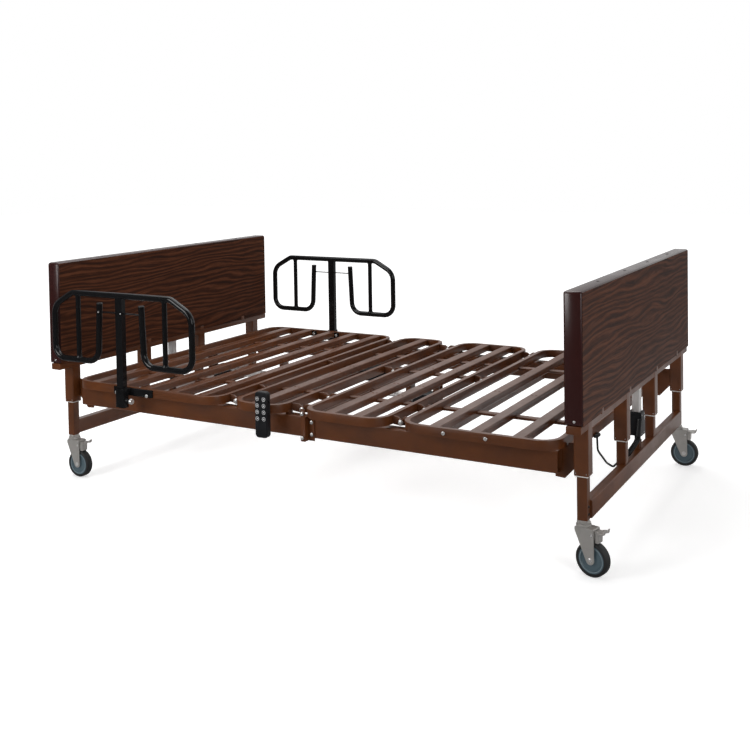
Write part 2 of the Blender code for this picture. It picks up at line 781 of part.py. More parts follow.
def ring(x0, x1):
    """Rounded frame of a deck section, and the opening inside it."""
    low = DECK_TOP - RING_TALL
    w = RING_WIDE
    outer = round_rect((x0, -DECK_HALF), (x1, DECK_HALF), RING_CORNER, 5)
    inner_low = (x0 + w, -DECK_HALF + w)
    inner_high = (x1 - w, DECK_HALF - w)
    inner = round_rect(inner_low, inner_high, RING_CORNER - w, 5)
    rim = prism(outer, "Z", low, DECK_TOP)
    hole = prism(inner, "Z", low - LAP, DECK_TOP + LAP)
    frame = rim
    add_boolean(frame, hole, "DIFFERENCE")
    return frame


def slats(xs):
    reach = DECK_HALF - RING_WIDE + LAP
    top = DECK_TOP - SLAT_DROP
    members = []
    for x in xs:
        x0, x1 = span(x, SLAT_WIDE / 2)
        outline = round_rect((x0, top - SLAT_TALL), (x1, top), 0.002, 1)
        members.append(prism(outline, "Y", -reach, reach))
    return members


def struts(x0, x1, ys):
    low = DECK_TOP - RING_TALL + 0.0005
    members = []
    for y in ys:
        outline = round_rect((y - STRUT_WIDE / 2, low), (y + STRUT_WIDE / 2, low + STRUT_TALL), 0.003)
        members.append(prism(outline, "X", x0 + RING_WIDE - LAP, x1 - RING_WIDE + LAP))
    return members


def ear(hinge_x, edge_x, y0, y1):
    """Hinge plate from a section's edge to the hinge axis, with a rounded end."""
    direction = 1 if edge_x > hinge_x else -1
    root = edge_x + direction * 0.006
    low = HINGE_Z - 0.006
    high = DECK_TOP - 0.004
    if direction > 0:
        nose = arc((hinge_x, HINGE_Z), EAR_R, 90, 270, 5)
        outline = [(root, low), (root, high), (hinge_x + EAR_R, high)] + nose
    else:
        nose = arc((hinge_x, HINGE_Z), EAR_R, 270, 450, 5)
        outline = [(hinge_x - EAR_R, high), (root, high), (root, low)] + nose
    return prism(outline, "Y", y0, y1)


def fixed_ears(hinge_x, edge_x):
    """Ears with welded pins, each pin with its head beyond the turning ear."""
    solids = []
    for y in HINGE_YS:
        solids.append(ear(hinge_x, edge_x, y - EAR_THICK, y))
        far = y + GAP + EAR_THICK + GAP
        solids.append(rod((hinge_x, HINGE_Z), PIN_R, "Y", y - LAP, far + LAP, 12))
        solids.append(rod((hinge_x, HINGE_Z), PIN_HEAD_R, "Y", far, far + PIN_HEAD, 6))
    return solids


def turning_ears(hinge_x, edge_x):
    solids = []
    cuts = []
    for y in HINGE_YS:
        solids.append(ear(hinge_x, edge_x, y + GAP, y + GAP + EAR_THICK))
        hole = bore_radius(PIN_R, 12)
        cuts.append(rod((hinge_x, HINGE_Z), hole, "Y", y - LAP, y + EAR_THICK + LAP, 12))
    return solids, cuts


def clamp_holes():
    cuts = []
    for y_side in (-1, 1):
        edges = sorted((y_side * (DECK_HALF - RING_WIDE - LAP), y_side * (DECK_HALF + LAP)))
        for x in CLAMP_XS:
            cuts.append(rod((x, CLAMP_BOLT_Z), CLAMP_BOLT_R + SLIDE, "Y", edges[0], edges[1], 12))
    return cuts


def hanger(x, y, low, half, wall, drop_to):
    """Strap under a slat with a hole for the actuator's tube."""
    strap = block((x - 0.010, y - half - wall, low), (x + 0.010, y + half + wall, drop_to))
    z = low + wall + half
    hole = rod((y, z), TUBE_R + GAP, "X", x - 0.02, x + 0.02, 16)
    return strap, hole


def back_section():
    solids = [ring(*BACK)] + slats(BACK_SLATS) + struts(BACK[0], BACK[1], (-0.36, 0.36))
    ears, cuts = turning_ears(BACK_HINGE_X, BACK[1])
    slat_low = DECK_TOP - SLAT_DROP - SLAT_TALL
    axis_z = back_axis_z()
    for y_side in (-1, 1):
        near = BACK_Y + y_side * 0.0125
        edges = sorted((near, near + y_side * HANGER))
        low = (BACK_TAIL - 0.014, edges[0], axis_z - 0.012)
        solids.append(block(low, (BACK_TAIL + 0.014, edges[1], slat_low + LAP)))
    reach = 0.0125 + HANGER + 0.003
    solids.append(rod((BACK_TAIL, axis_z), TAIL_PIN_R, "Y", BACK_Y - reach, BACK_Y + reach, 16))
    low = axis_z - TUBE_R - 0.004
    strap, hole = hanger(-0.484, BACK_Y, low, TUBE_R, 0.004, slat_low + LAP)
    part("back_section", BROWN, solids + ears + [strap], cuts + [hole] + clamp_holes(),
         (BACK_HINGE_X, 0.0, HINGE_Z))


def seat_section():
    solids = [ring(*SEAT)] + slats(SEAT_SLATS) + struts(SEAT[0], SEAT[1], (-0.36, 0.36))
    solids += fixed_ears(BACK_HINGE_X, SEAT[0]) + fixed_ears(THIGH_HINGE_X, SEAT[1])
    part("seat_section", BROWN, solids)


def thigh_section():
    solids = [ring(*THIGH)] + slats(THIGH_SLATS) + struts(THIGH[0], THIGH[1], (-0.36, 0.11, 0.36))
    ears, cuts = turning_ears(THIGH_HINGE_X, THIGH[0])
    solids += fixed_ears(FOOT_HINGE_X, THIGH[1])
    slat_low = DECK_TOP - SLAT_DROP - SLAT_TALL
    axis_z = knee_axis_z()
    for y_side in (-1, 1):
        near = KNEE_Y + y_side * 0.0125
        edges = sorted((near, near + y_side * HANGER))
        low = (KNEE_TAIL - 0.013, edges[0], axis_z - 0.012)
        solids.append(block(low, (KNEE_TAIL + 0.013, edges[1], slat_low + LAP)))
    reach = 0.0125 + HANGER + 0.003
    solids.append(rod((KNEE_TAIL, axis_z), TAIL_PIN_R, "Y", KNEE_Y - reach, KNEE_Y + reach, 16))
    low = axis_z - TUBE_R - 0.004
    strap, hole = hanger(0.186, KNEE_Y, low, TUBE_R, 0.004, slat_low + LAP)
    part("thigh_section", BROWN, solids + ears + [strap], cuts + [hole],
         (THIGH_HINGE_X, 0.0, HINGE_Z))


def foot_section():
    solids = [ring(*FOOT)] + slats(FOOT_SLATS) + struts(FOOT[0], FOOT[1], (-0.36, 0.36))
    ears, cuts = turning_ears(FOOT_HINGE_X, FOOT[0])
    for y_side in (-1, 1):
        for x in (0.6205, 0.7623):
            edges = sorted((y_side * (DECK_HALF - LAP), y_side * (DECK_HALF + 0.003)))
            solids.append(rod((x, 0.390), 0.006, "Y", edges[0], edges[1], 10))
    part("foot_section", BROWN, solids + ears, cuts, (FOOT_HINGE_X, 0.0, HINGE_Z))


# Back and knee actuators

def axis_below(arm, turn):
    """How far under the hinge an actuator's axis runs: the middle of its yoke's slot."""
    lift = arm * (1 + math.cos(math.radians(turn / 2))) / 2
    return HINGE_Z - lift


def back_axis_z():
    return axis_below(BACK_ARM, BACK_TURN)


def knee_axis_z():
    return axis_below(KNEE_ARM, KNEE_TURN)


def yoke(pin_x, axis_z, arm, turn, y, rod_end):
    """Flat end of an actuator's rod with an upright slot for the anchor pin."""
    travel = arm * (1 - math.cos(math.radians(turn / 2)))
    half_wide = ANCHOR_R + SLOT_PLAY
    half_tall = travel / 2 + ANCHOR_R + SLOT_PLAY
    w = YOKE_WALL
    low = (pin_x - half_wide - w, axis_z - half_tall - w)
    high = (pin_x + half_wide + w, axis_z + half_tall + w)
    plate = prism(round_rect(low, high, 0.005, 3), "Y", y - YOKE_HALF, y + YOKE_HALF)
    slot_low = (pin_x - half_wide, axis_z - half_tall)
    slot_high = (pin_x + half_wide, axis_z + half_tall)
    slot = prism(round_rect(slot_low, slot_high, half_wide * 0.98, 4), "Y", y - 0.01, y + 0.01)
    side = 1 if rod_end > pin_x else -1
    start = pin_x + side * (half_wide + w / 2)
    edges = sorted((start, rod_end))
    stem = rod((y, axis_z), ROD_R - 0.001, "X", edges[0], edges[1], 16)
    return [plate, stem], [slot]


def actuator(name, pin_x, axis_z, y, tube, motor, tail_x, arm, turn):
    """Housing, outer tube and rod; the housing's tail is pinned between the section's plates."""
    side = 1 if motor[1] > motor[0] else -1
    edges = sorted(tube)
    outer = rod((y, axis_z), TUBE_R, "X", edges[0], edges[1], 24)
    bore = rod((y, axis_z), ROD_R, "X", edges[0] - LAP, edges[1] + LAP, 16)
    part(name + "_tube", SILVER, [outer], [bore])
    edges = sorted(motor)
    outline = round_rect((y - 0.030, axis_z - 0.028), (y + 0.045, axis_z + 0.024), 0.008, 2)
    housing = prism(outline, "X", edges[0], edges[1])
    tails = sorted((motor[1] - side * LAP, tail_x + side * 0.009))
    tail = block((tails[0], y - 0.0122, axis_z - 0.009), (tails[1], y + 0.0122, axis_z + 0.009))
    eye = rod((tail_x, axis_z), bore_radius(TAIL_PIN_R, 16), "Y", y - 0.02, y + 0.02, 16)
    part(name + "_motor", BLACK, [housing, tail], [eye])
    solids, cuts = yoke(pin_x, axis_z, arm, turn, y, tube[1] - side * GAP)
    part(name + "_rod", ZINC, solids, cuts)


def actuators():
    pin_x, _ = back_anchor_spot()
    actuator("back_actuator", pin_x, back_axis_z(), BACK_Y, BACK_TUBE, BACK_MOTOR,
             BACK_TAIL, BACK_ARM, BACK_TURN)
    pin_x, _ = knee_anchor_spot()
    actuator("knee_actuator", pin_x, knee_axis_z(), KNEE_Y, KNEE_TUBE, KNEE_MOTOR,
             KNEE_TAIL, KNEE_ARM, KNEE_TURN)


def control_box():
    low = (-0.172, 0.205, CROSS_LOW + 0.004)
    outline = round_rect((low[0], low[1]), (-0.052, 0.335), 0.008, 2)
    box = prism(outline, "Z", low[2], 0.345)
    lip = block((-0.2048, 0.225, 0.3318), (low[0] + LAP, 0.315, 0.3348))
    over = block((-0.232, 0.225, 0.3318), (-0.2038, 0.315, 0.3348))
    part("control_box", BLACK, [box, lip, over])


# Assist rails

def rail_place(x, y_side):
    turn = 0.0 if y_side < 0 else math.pi
    return Matrix.Translation((x, y_side * RAIL_Y, 0.0)) @ Matrix.Rotation(turn, 4, "Z")


def rail_tube(place):
    """The one bent tube: free leg, bottom, side, sloped shoulder, top bar and back down."""
    half = [((-RAIL_LEG, 0, RAIL_TOP - 0.034), 0)]
    half.append(((-RAIL_LEG - 0.010, 0, RAIL_LOW), 0.050))
    half.append(((-RAIL_REACH, 0, RAIL_LOW), 0.050))
    half.append(((-RAIL_REACH, 0, RAIL_TOP - 0.053), 0.060))
    half.append(((-RAIL_STRUT - 0.029, 0, RAIL_TOP), 0.040))
    mirrored = [((-spot[0], 0, spot[2]), radius) for spot, radius in reversed(half)]
    return sweep(bent_path(half + mirrored), RAIL_R, 10, place)


def assist_rail(name, x, y_side):
    place = rail_place(x, y_side)
    solids = [rail_tube(place)]
    px = RAIL_POST_X / 2
    py = RAIL_POST_Y / 2
    outline = round_rect((-px, -py), (px, py), 0.002, 1)
    solids.append(prism(outline, "Z", RAIL_POST_LOW, RAIL_TOP - 0.004, place))
    for u in (-RAIL_STRUT, RAIL_STRUT):
        solids.append(rod((u, 0), STRUT_R, "Z", RAIL_LOW, RAIL_TOP, 8, place))
    solids.append(rod((0, LINK_Z), LINK_R, "X", -RAIL_LEG, RAIL_LEG, 6, place))
    hole = rod((0, PULL_Z), PULL_R + SLIDE, "X", 0.004, px + LAP, 12, place)
    part(name, GLOSS, solids, [hole])


def rail_clamp(name, x, y_side):
    """Cup for the rail's post on a plate, bolted through the deck's edge tube to two inner pads."""
    place = rail_place(x, y_side)
    outline = round_rect((-CUP_X / 2, -CUP_Y / 2), (CUP_X / 2, CUP_Y / 2), 0.003, 2)
    solids = [prism(outline, "Z", CUP_LOW, CUP_TOP, place)]
    bore_x = RAIL_POST_X / 2 + SLIDE
    bore_y = RAIL_POST_Y / 2 + SLIDE
    cuts = [block((-bore_x, -bore_y, CUP_LOW - LAP), (bore_x, bore_y, CUP_TOP + LAP), place)]
    barrel_end = CUP_X / 2 + BARREL_LONG
    solids.append(rod((0, PULL_Z), BARREL_R, "X", CUP_X / 2 - LAP, barrel_end, 12, place))
    cuts.append(rod((0, PULL_Z), PULL_R + SLIDE, "X", 0.010, barrel_end + LAP, 12, place))
    face = DECK_HALF + GAP
    plate_out = face + PLATE_THICK
    plate_x = (-0.750, -0.562)
    edges = sorted((y_side * face, y_side * plate_out))
    solids.append(block((plate_x[0], edges[0], PLATE_LOW), (plate_x[1], edges[1], PLATE_TOP)))
    edges = sorted((y_side * (plate_out - LAP), y_side * (RAIL_Y - CUP_Y / 2 + LAP)))
    solids.append(block((x - 0.017, edges[0], PLATE_LOW), (x + 0.017, edges[1], PLATE_TOP)))
    inner = DECK_HALF - RING_WIDE - GAP
    for bolt_x in CLAMP_XS:
        edges = sorted((y_side * (inner - 0.004), y_side * (face + LAP)))
        solids.append(rod((bolt_x, CLAMP_BOLT_Z), CLAMP_BOLT_R, "Y", edges[0], edges[1], 12))
        edges = sorted((y_side * inner, y_side * (inner - 0.008)))
        low = (bolt_x - 0.011, edges[0], DECK_TOP - 0.0275)
        solids.append(block(low, (bolt_x + 0.011, edges[1], DECK_TOP - 0.005)))
        edges = sorted((y_side * (inner - 0.007), y_side * (inner - 0.011)))
        solids.append(rod((bolt_x, CLAMP_BOLT_Z), 0.0055, "Y", edges[0], edges[1], 10))
    for head_x in (-0.735, -0.587):
        if abs(head_x - x) > 0.03:
            edges = sorted((y_side * (plate_out - LAP), y_side * (plate_out + 0.004)))
            solids.append(rod((head_x, 0.3815), 0.0065, "Y", edges[0], edges[1], 12))
    part(name, GLOSS, solids, cuts)


def rail_pin(name, x, y_side):
    """Round pull on a pin that is pushed into the post's hole; it is stored parked just outside."""
    place = rail_place(x, y_side)
    tip = RAIL_POST_X / 2 + 0.0005
    knob = CUP_X / 2 + BARREL_LONG + PIN_THROW + GAP
    profile = [(PULL_R - 0.001, tip), (PULL_R, tip + 0.001), (PULL_R, knob), (0.0105, knob)]
    profile += [(0.0105, knob + 0.009), (0.009, knob + 0.0105)]
    turned = lathe(profile, "X", (0, 0, PULL_Z), 12, place)
    origin = place @ Vector((0, 0, PULL_Z))
    part(name, ZINC, [turned], origin=origin)


# Hand control

def hand_control():
    x0, x1 = span(HAND_X, HAND_HALF)
    front = -HAND_BACK - HAND_THICK
    outline = round_rect((x0, HAND_LOW), (x1, HAND_TOP), 0.012, 3)
    case = prism(outline, "Y", front, -HAND_BACK)
    bevel = case.modifiers.new("edges", "BEVEL")
    bevel.width = 0.003
    bevel.segments = 1
    bevel.limit_method = "ANGLE"
    bevel.angle_limit = math.radians(50)
    top = DECK_TOP + GAP
    lip = DECK_HALF - RING_WIDE - 0.0012
    hook = [(-HAND_BACK - LAP, top), (-HAND_BACK - LAP, top + 0.004), (-lip + 0.004, top + 0.004)]
    hook += [(-lip + 0.004, 0.388), (-lip, 0.388), (-lip, top)]
    strap = prism(hook, "X", x0 + 0.0005, x0 + 0.018)
    solids = [case, strap]
    for z in (0.383, 0.423):
        solids.append(rod((-HAND_BACK - HAND_THICK / 2, z), 0.0035, "X", x1 - LAP, x1 + 0.003, 10))
    cuts = []
    for x in KEY_XS:
        for z in KEY_ZS:
            spot = (HAND_X + x, z)
            deep = front + KEY_DEEP + 0.002
            cuts.append(rod(spot, KEY_R + SLIDE, "Y", front - LAP, deep, 12))
    part("hand_control_body", BLACK, solids, cuts)
    number = 1
    for z in KEY_ZS:
        for x in KEY_XS:
            spot = (HAND_X + x, z)
            button = rod(spot, KEY_R, "Y", front - KEY_PROUD, front + KEY_DEEP, 12)
            origin = (spot[0], front, spot[1])
            part("hand_control_button_%d" % number, KEY, [button], origin=origin)
            number += 1


def lift_cable():
    """Cable of the foot lift: down from the cross tube, behind a post, then sleeved to the motor."""
    thin = CABLE_R + GAP
    start_x = END_CROSS_EDGE + thin
    corners = [((start_x, -0.226, 0.335), 0), ((start_x, -0.219, 0.262), 0.030)]
    corners += [((1.000, -0.212, 0.222), 0.030), ((1.0205, -0.206, 0.2115), 0.008)]
    corners += [((1.0165, -0.168, 0.238), 0)]
    cable = sweep(bent_path(corners), CABLE_R, 6)
    y = -0.021 - GAP - CONDUIT_R
    corners = [((1.0155, -0.172, 0.238), 0), ((1.044, -0.104, 0.2305), 0.030)]
    corners += [((1.0575, y, 0.262), 0.020), ((1.0635, y, 0.334), 0)]
    conduit = sweep(bent_path(corners), CONDUIT_R, 8)
    part("foot_lift_cable", BLACK, [conduit, cable])


# Whole bed

def all_parts():
    for end, side in (("head", -1.0), ("foot", 1.0)):
        panel(end, side)
        upper_frame(end, side)
        lower_frame(end, side)
        lift(end, side)
    for entry in CASTERS:
        caster(*entry)
    base_head()
    base_foot()
    splice("near_splice_bracket", -1)
    splice("far_splice_bracket", 1)
    back_section()
    seat_section()
    thigh_section()
    foot_section()
    actuators()
    control_box()
    for side_name, x, y_side in (("near", NEAR_RAIL_X, -1), ("far", FAR_RAIL_X, 1)):
        assist_rail(side_name + "_assist_rail", x, y_side)
        rail_clamp(side_name + "_rail_clamp", x, y_side)
        rail_pin(side_name + "_rail_pin", x, y_side)
    hand_control()
    lift_cable()


def middle_x():
    """Middle of the bed's whole length, casters included."""
    bpy.context.view_layer.update()
    graph = bpy.context.evaluated_depsgraph_get()
    lows = []
    highs = []
    for obj in PARTS.objects:
        shape = obj.evaluated_get(graph)
        xs = [(obj.matrix_world @ Vector(corner)).x for corner in shape.bound_box]
        lows.append(min(xs))
        highs.append(max(xs))
    return (min(lows) + max(highs)) / 2


def centre_on_origin():
    """Shift every piece so that the origin lies under the middle of the whole bed."""
    shift = middle_x()
    for obj in list(PARTS.objects) + list(CUTTERS.objects):
        obj.location.x -= shift
    bpy.context.view_layer.update()
    return shift


all_parts()
print("shift", round(centre_on_origin(), 6))
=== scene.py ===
import math

import bmesh
import bpy
from mathutils import Matrix, Vector


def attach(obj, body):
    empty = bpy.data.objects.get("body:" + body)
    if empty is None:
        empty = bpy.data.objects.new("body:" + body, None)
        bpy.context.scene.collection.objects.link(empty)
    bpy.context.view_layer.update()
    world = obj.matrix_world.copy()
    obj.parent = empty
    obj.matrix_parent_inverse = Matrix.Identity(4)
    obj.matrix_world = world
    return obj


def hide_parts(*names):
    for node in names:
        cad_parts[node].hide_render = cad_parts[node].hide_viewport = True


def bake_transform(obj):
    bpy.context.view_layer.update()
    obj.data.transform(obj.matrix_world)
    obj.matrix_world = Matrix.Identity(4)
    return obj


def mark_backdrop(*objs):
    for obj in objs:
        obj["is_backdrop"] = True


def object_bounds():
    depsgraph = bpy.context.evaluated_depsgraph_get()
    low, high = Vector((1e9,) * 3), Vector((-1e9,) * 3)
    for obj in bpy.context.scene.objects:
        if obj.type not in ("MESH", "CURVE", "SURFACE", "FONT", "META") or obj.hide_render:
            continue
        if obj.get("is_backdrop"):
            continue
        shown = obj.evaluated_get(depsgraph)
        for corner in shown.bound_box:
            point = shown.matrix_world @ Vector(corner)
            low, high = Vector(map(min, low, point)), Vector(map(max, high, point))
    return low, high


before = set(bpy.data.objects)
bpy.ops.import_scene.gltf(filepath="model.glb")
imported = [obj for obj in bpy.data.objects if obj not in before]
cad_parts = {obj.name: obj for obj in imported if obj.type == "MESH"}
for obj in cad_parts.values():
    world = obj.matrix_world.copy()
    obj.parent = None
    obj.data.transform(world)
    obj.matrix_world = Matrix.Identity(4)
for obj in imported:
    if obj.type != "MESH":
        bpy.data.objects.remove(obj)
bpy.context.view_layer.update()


# Camera
# Standing eye height off the foot end's near corner, about four metres away. The lens axis is almost
# level and the sensor is shifted down, so the posts stay upright in the picture.

CAMERA_SPOT = Vector((1.9628, -3.518, 1.268))
YAW, PITCH, ROLL = (math.radians(a) for a in (29.35, 1.98, -0.89))
ahead = Vector((-math.sin(YAW) * math.cos(PITCH), math.cos(YAW) * math.cos(PITCH), -math.sin(PITCH)))
level = Vector((math.cos(YAW), math.sin(YAW), 0.0))
upward = level.cross(ahead)
right = level * math.cos(ROLL) + upward * math.sin(ROLL)
up = upward * math.cos(ROLL) - level * math.sin(ROLL)
camera = bpy.data.objects.new("camera", bpy.data.cameras.new("camera"))
bpy.context.scene.collection.objects.link(camera)
camera.data.sensor_width = 36.0
camera.data.lens = 49.0
camera.data.shift_y = -0.25
camera.data.clip_end = 60.0
camera.matrix_world = Matrix((right, up, -ahead)).transposed().to_4x4()
camera.matrix_world.translation = CAMERA_SPOT
bpy.context.scene.camera = camera
bpy.context.scene.view_settings.view_transform = "Standard"


# Floor and light
# A seamless white studio, pale floor and backdrop in one, under a broad soft box, with two more boxes
# on the camera's side. Shiny faces mirror the lit backdrop behind the bed and the dark room behind the
# camera.

FLOOR_REACH = 16.0


def link(tree, out_socket, in_socket):
    tree.links.new(out_socket, in_socket)


def preset(node, values):
    """Fill a node's inputs."""
    for socket, value in values.items():
        node.inputs[socket].default_value = value
    return node


def blank(name):
    """New material, with its tree and its shader."""
    mat = bpy.data.materials.new(name)
    mat.use_nodes = True
    return mat, mat.node_tree, mat.node_tree.nodes["Principled BSDF"]


def ramp(tree, value, low, high, at_low, at_high):
    """Spread a value's run from low to high over another run."""
    node = preset(tree.nodes.new("ShaderNodeMapRange"),
                  {"From Min": low, "From Max": high, "To Min": at_low, "To Max": at_high})
    link(tree, value, node.inputs["Value"])
    return node.outputs["Result"]


world = bpy.data.worlds.new("studio")
bpy.context.scene.world = world
world.use_nodes = True
tree = world.node_tree
sky = preset(tree.nodes["Background"], {"Color": (1.0, 1.0, 1.0, 1.0)})
path = tree.nodes.new("ShaderNodeLightPath")
seen = tree.nodes.new("ShaderNodeMath")
seen.operation = "MAXIMUM"
link(tree, path.outputs["Is Camera Ray"], seen.inputs[0])
link(tree, path.outputs["Is Transmission Ray"], seen.inputs[1])
whither = tree.nodes.new("ShaderNodeTexCoord")
parts = tree.nodes.new("ShaderNodeSeparateXYZ")
link(tree, whither.outputs["Generated"], parts.inputs[0])
backdrop = ramp(tree, parts.outputs["Y"], -0.25, 0.60, 0.06, 0.70)
final = preset(tree.nodes.new("ShaderNodeMix"), {3: 1.0})
link(tree, seen.outputs[0], final.inputs[0])
link(tree, backdrop, final.inputs[2])
link(tree, final.outputs[0], sky.inputs["Strength"])

bm = bmesh.new()
bmesh.ops.create_grid(bm, x_segments=2, y_segments=2, size=FLOOR_REACH)
mesh = bpy.data.meshes.new("floor")
bm.to_mesh(mesh)
bm.free()
floor = bpy.data.objects.new("floor", mesh)
bpy.context.scene.collection.objects.link(floor)
white, tree, coat = blank("white_floor")
# Seen by the camera the floor also glows, from 0.52 near the bed to 0.97 far off, so that it turns white away
# from its shadow. Shiny faces see it in a painted reflection tone instead, dark in front of the bed and pale
# behind.
preset(coat, {"Roughness": 0.9, "Specular IOR Level": 0.1, "Emission Color": (1.0, 1.0, 1.0, 1.0)})
path = tree.nodes.new("ShaderNodeLightPath")
spot = tree.nodes.new("ShaderNodeTexCoord")
reach = tree.nodes.new("ShaderNodeVectorMath")
reach.operation = "LENGTH"
link(tree, spot.outputs["Object"], reach.inputs[0])
fade = ramp(tree, reach.outputs["Value"], 1.3, 4.0, 0.52, 0.97)
glow = tree.nodes.new("ShaderNodeMath")
glow.operation = "MULTIPLY"
link(tree, path.outputs["Is Camera Ray"], glow.inputs[0])
link(tree, fade, glow.inputs[1])
link(tree, glow.outputs[0], coat.inputs["Emission Strength"])
ground = tree.nodes.new("ShaderNodeSeparateXYZ")
link(tree, spot.outputs["Object"], ground.inputs[0])
far_off = ramp(tree, ground.outputs["Y"], -1.2, 0.5, 0.045, 0.74)
tone = preset(tree.nodes.new("ShaderNodeMix"), {2: 0.86})
link(tree, path.outputs["Is Glossy Ray"], tone.inputs[0])
link(tree, far_off, tone.inputs[3])
link(tree, tone.outputs[0], coat.inputs["Base Color"])
mesh.materials.append(white)


def soft_box(name, spot, aim, size, energy):
    """Flat lamp at a spot, turned to face its aim."""
    light = bpy.data.lights.new(name, "AREA")
    light.shape = "RECTANGLE"
    light.size, light.size_y = size
    light.energy = energy
    lamp = bpy.data.objects.new(name, light)
    bpy.context.scene.collection.objects.link(lamp)
    lamp.location = spot
    lamp.rotation_euler = (Vector(aim) - Vector(spot)).to_track_quat("-Z", "Y").to_euler()
    return lamp


overhead = soft_box("overhead_box", (-0.6, 0.3, 3.2), (0.0, 0.0, 0.3), (3.6, 2.6), 78.0)
side_box = soft_box("side_box", (3.9, -2.6, 1.9), (0.6, 0.0, 0.5), (1.6, 2.2), 52.0)
left_box = soft_box("left_box", (-1.7, -3.6, 1.7), (-1.0, -0.6, 0.4), (1.6, 1.8), 60.0)
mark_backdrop(floor, overhead, side_box, left_box)


# Cable of the foot lift
# A thin round lead, strapped to a clip on the base frame, hangs down behind a post. From there it goes up
# to the motor inside a ribbed black plastic hose, fixed to the legs clear of the sliding posts.

def mix_colour(tree, fac, first, second):
    """Blend two colours by a value from 0 to 1."""
    node = tree.nodes.new("ShaderNodeMix")
    node.data_type = "RGBA"
    node.inputs[6].default_value = (*first, 1.0)
    node.inputs[7].default_value = (*second, 1.0)
    link(tree, fac, node.inputs[0])
    return node.outputs[2]


def surface_group():
    """Fine grain and slow blotches, for anything moulded, painted or plated."""
    group = bpy.data.node_groups.new("surface_grain", "ShaderNodeTree")
    face = group.interface
    for name in ("Fine Scale", "Blotch Scale", "Smooth Roughness", "Dull Roughness"):
        face.new_socket(name, in_out="INPUT", socket_type="NodeSocketFloat")
    for name in ("Height", "Blotch", "Roughness"):
        face.new_socket(name, in_out="OUTPUT", socket_type="NodeSocketFloat")
    start = group.nodes.new("NodeGroupInput")
    end = group.nodes.new("NodeGroupOutput")
    coords = group.nodes.new("ShaderNodeTexCoord")
    fine = group.nodes.new("ShaderNodeTexNoise")
    slow = preset(group.nodes.new("ShaderNodeTexNoise"), {"Detail": 5.0})
    spread = preset(group.nodes.new("ShaderNodeMapRange"), {"From Min": 0.3, "From Max": 0.7})
    for node in (fine, slow):
        link(group, coords.outputs["Object"], node.inputs["Vector"])
    link(group, start.outputs["Fine Scale"], fine.inputs["Scale"])
    link(group, start.outputs["Blotch Scale"], slow.inputs["Scale"])
    link(group, slow.outputs["Fac"], spread.inputs["Value"])
    link(group, start.outputs["Smooth Roughness"], spread.inputs["To Min"])
    link(group, start.outputs["Dull Roughness"], spread.inputs["To Max"])
    link(group, fine.outputs["Fac"], end.inputs["Height"])
    link(group, slow.outputs["Fac"], end.inputs["Blotch"])
    link(group, spread.outputs["Result"], end.inputs["Roughness"])
    return group


SURFACE = surface_group()


def emboss(tree, shader, height, strength, depth):
    """Give a shader relief from a value."""
    relief = preset(tree.nodes.new("ShaderNodeBump"), {"Strength": strength, "Distance": depth})
    link(tree, height, relief.inputs["Height"])
    link(tree, relief.outputs["Normal"], shader.inputs["Normal"])


def finish_with(name, colour, shade, rough, metallic=0.0, coat=0.0, specular=0.5,
                fine=900.0, slow=7.0, bump=0.00006):
    """Material whose colour drifts between two tones, mostly near ones, in slow blotches, with a fine grain
    in its gloss and relief; on the brown coat the wide pair of tones paints mottled reflections and shade.
    """
    mat, tree, shader = blank(name)
    grain = tree.nodes.new("ShaderNodeGroup")
    grain.node_tree = SURFACE
    preset(grain, {"Fine Scale": fine, "Blotch Scale": slow, "Smooth Roughness": rough[0],
                   "Dull Roughness": rough[1]})
    link(tree, mix_colour(tree, grain.outputs["Blotch"], colour, shade), shader.inputs["Base Color"])
    link(tree, grain.outputs["Roughness"], shader.inputs["Roughness"])
    emboss(tree, shader, grain.outputs["Height"], 0.6, bump)
    preset(shader, {"Metallic": metallic, "Coat Weight": coat, "Specular IOR Level": specular})
    return mat


def keep(name, bm, materials, body, replaced=(), sharp=35.0):
    """Turn a bmesh into a finished piece that rides on a body, or on none yet."""
    bmesh.ops.recalc_face_normals(bm, faces=bm.faces)
    mesh = bpy.data.meshes.new(name)
    bm.to_mesh(mesh)
    bm.free()
    return keep_mesh(name, mesh, materials, body, replaced, sharp)


def keep_mesh(name, mesh, materials, body, replaced=(), sharp=35.0):
    """Shade a mesh, split at its sharp edges, and make it a piece on its body, hiding the nodes it replaces.
    """
    if not isinstance(materials, (list, tuple)):
        materials = [materials]
    for mat in materials[len(mesh.materials):]:
        mesh.materials.append(mat)
    mesh.shade_smooth()
    mesh.set_sharp_from_angle(angle=math.radians(sharp))
    piece = bpy.data.objects.new(name, mesh)
    bpy.context.scene.collection.objects.link(piece)
    if body:
        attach(piece, body)
    if replaced:
        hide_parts(*replaced)
    return piece


def rounded(corners, steps=8):
    """Round a polyline's inner corners; each corner is (point, radius)."""
    points = [Vector(corners[0][0])]
    for before, here, after in zip(corners, corners[1:], corners[2:]):
        spot, radius = Vector(here[0]), here[1]
        back = (Vector(before[0]) - spot).normalized()
        on = (Vector(after[0]) - spot).normalized()
        half = back.angle(on) / 2
        middle = spot + (back + on).normalized() * (radius / math.sin(half))
        start = (spot + back * (radius / math.tan(half)) - middle).normalized()
        end = (spot + on * (radius / math.tan(half)) - middle).normalized()
        points += [middle + start.slerp(end, i / steps) * radius for i in range(steps + 1)]
    points.append(Vector(corners[-1][0]))
    return points


def walls(bm, low, high):
    """Faces that join two rings of points."""
    count = len(low)
    return [bm.faces.new((low[k], low[(k + 1) % count], high[(k + 1) % count], high[k]))
            for k in range(count)]


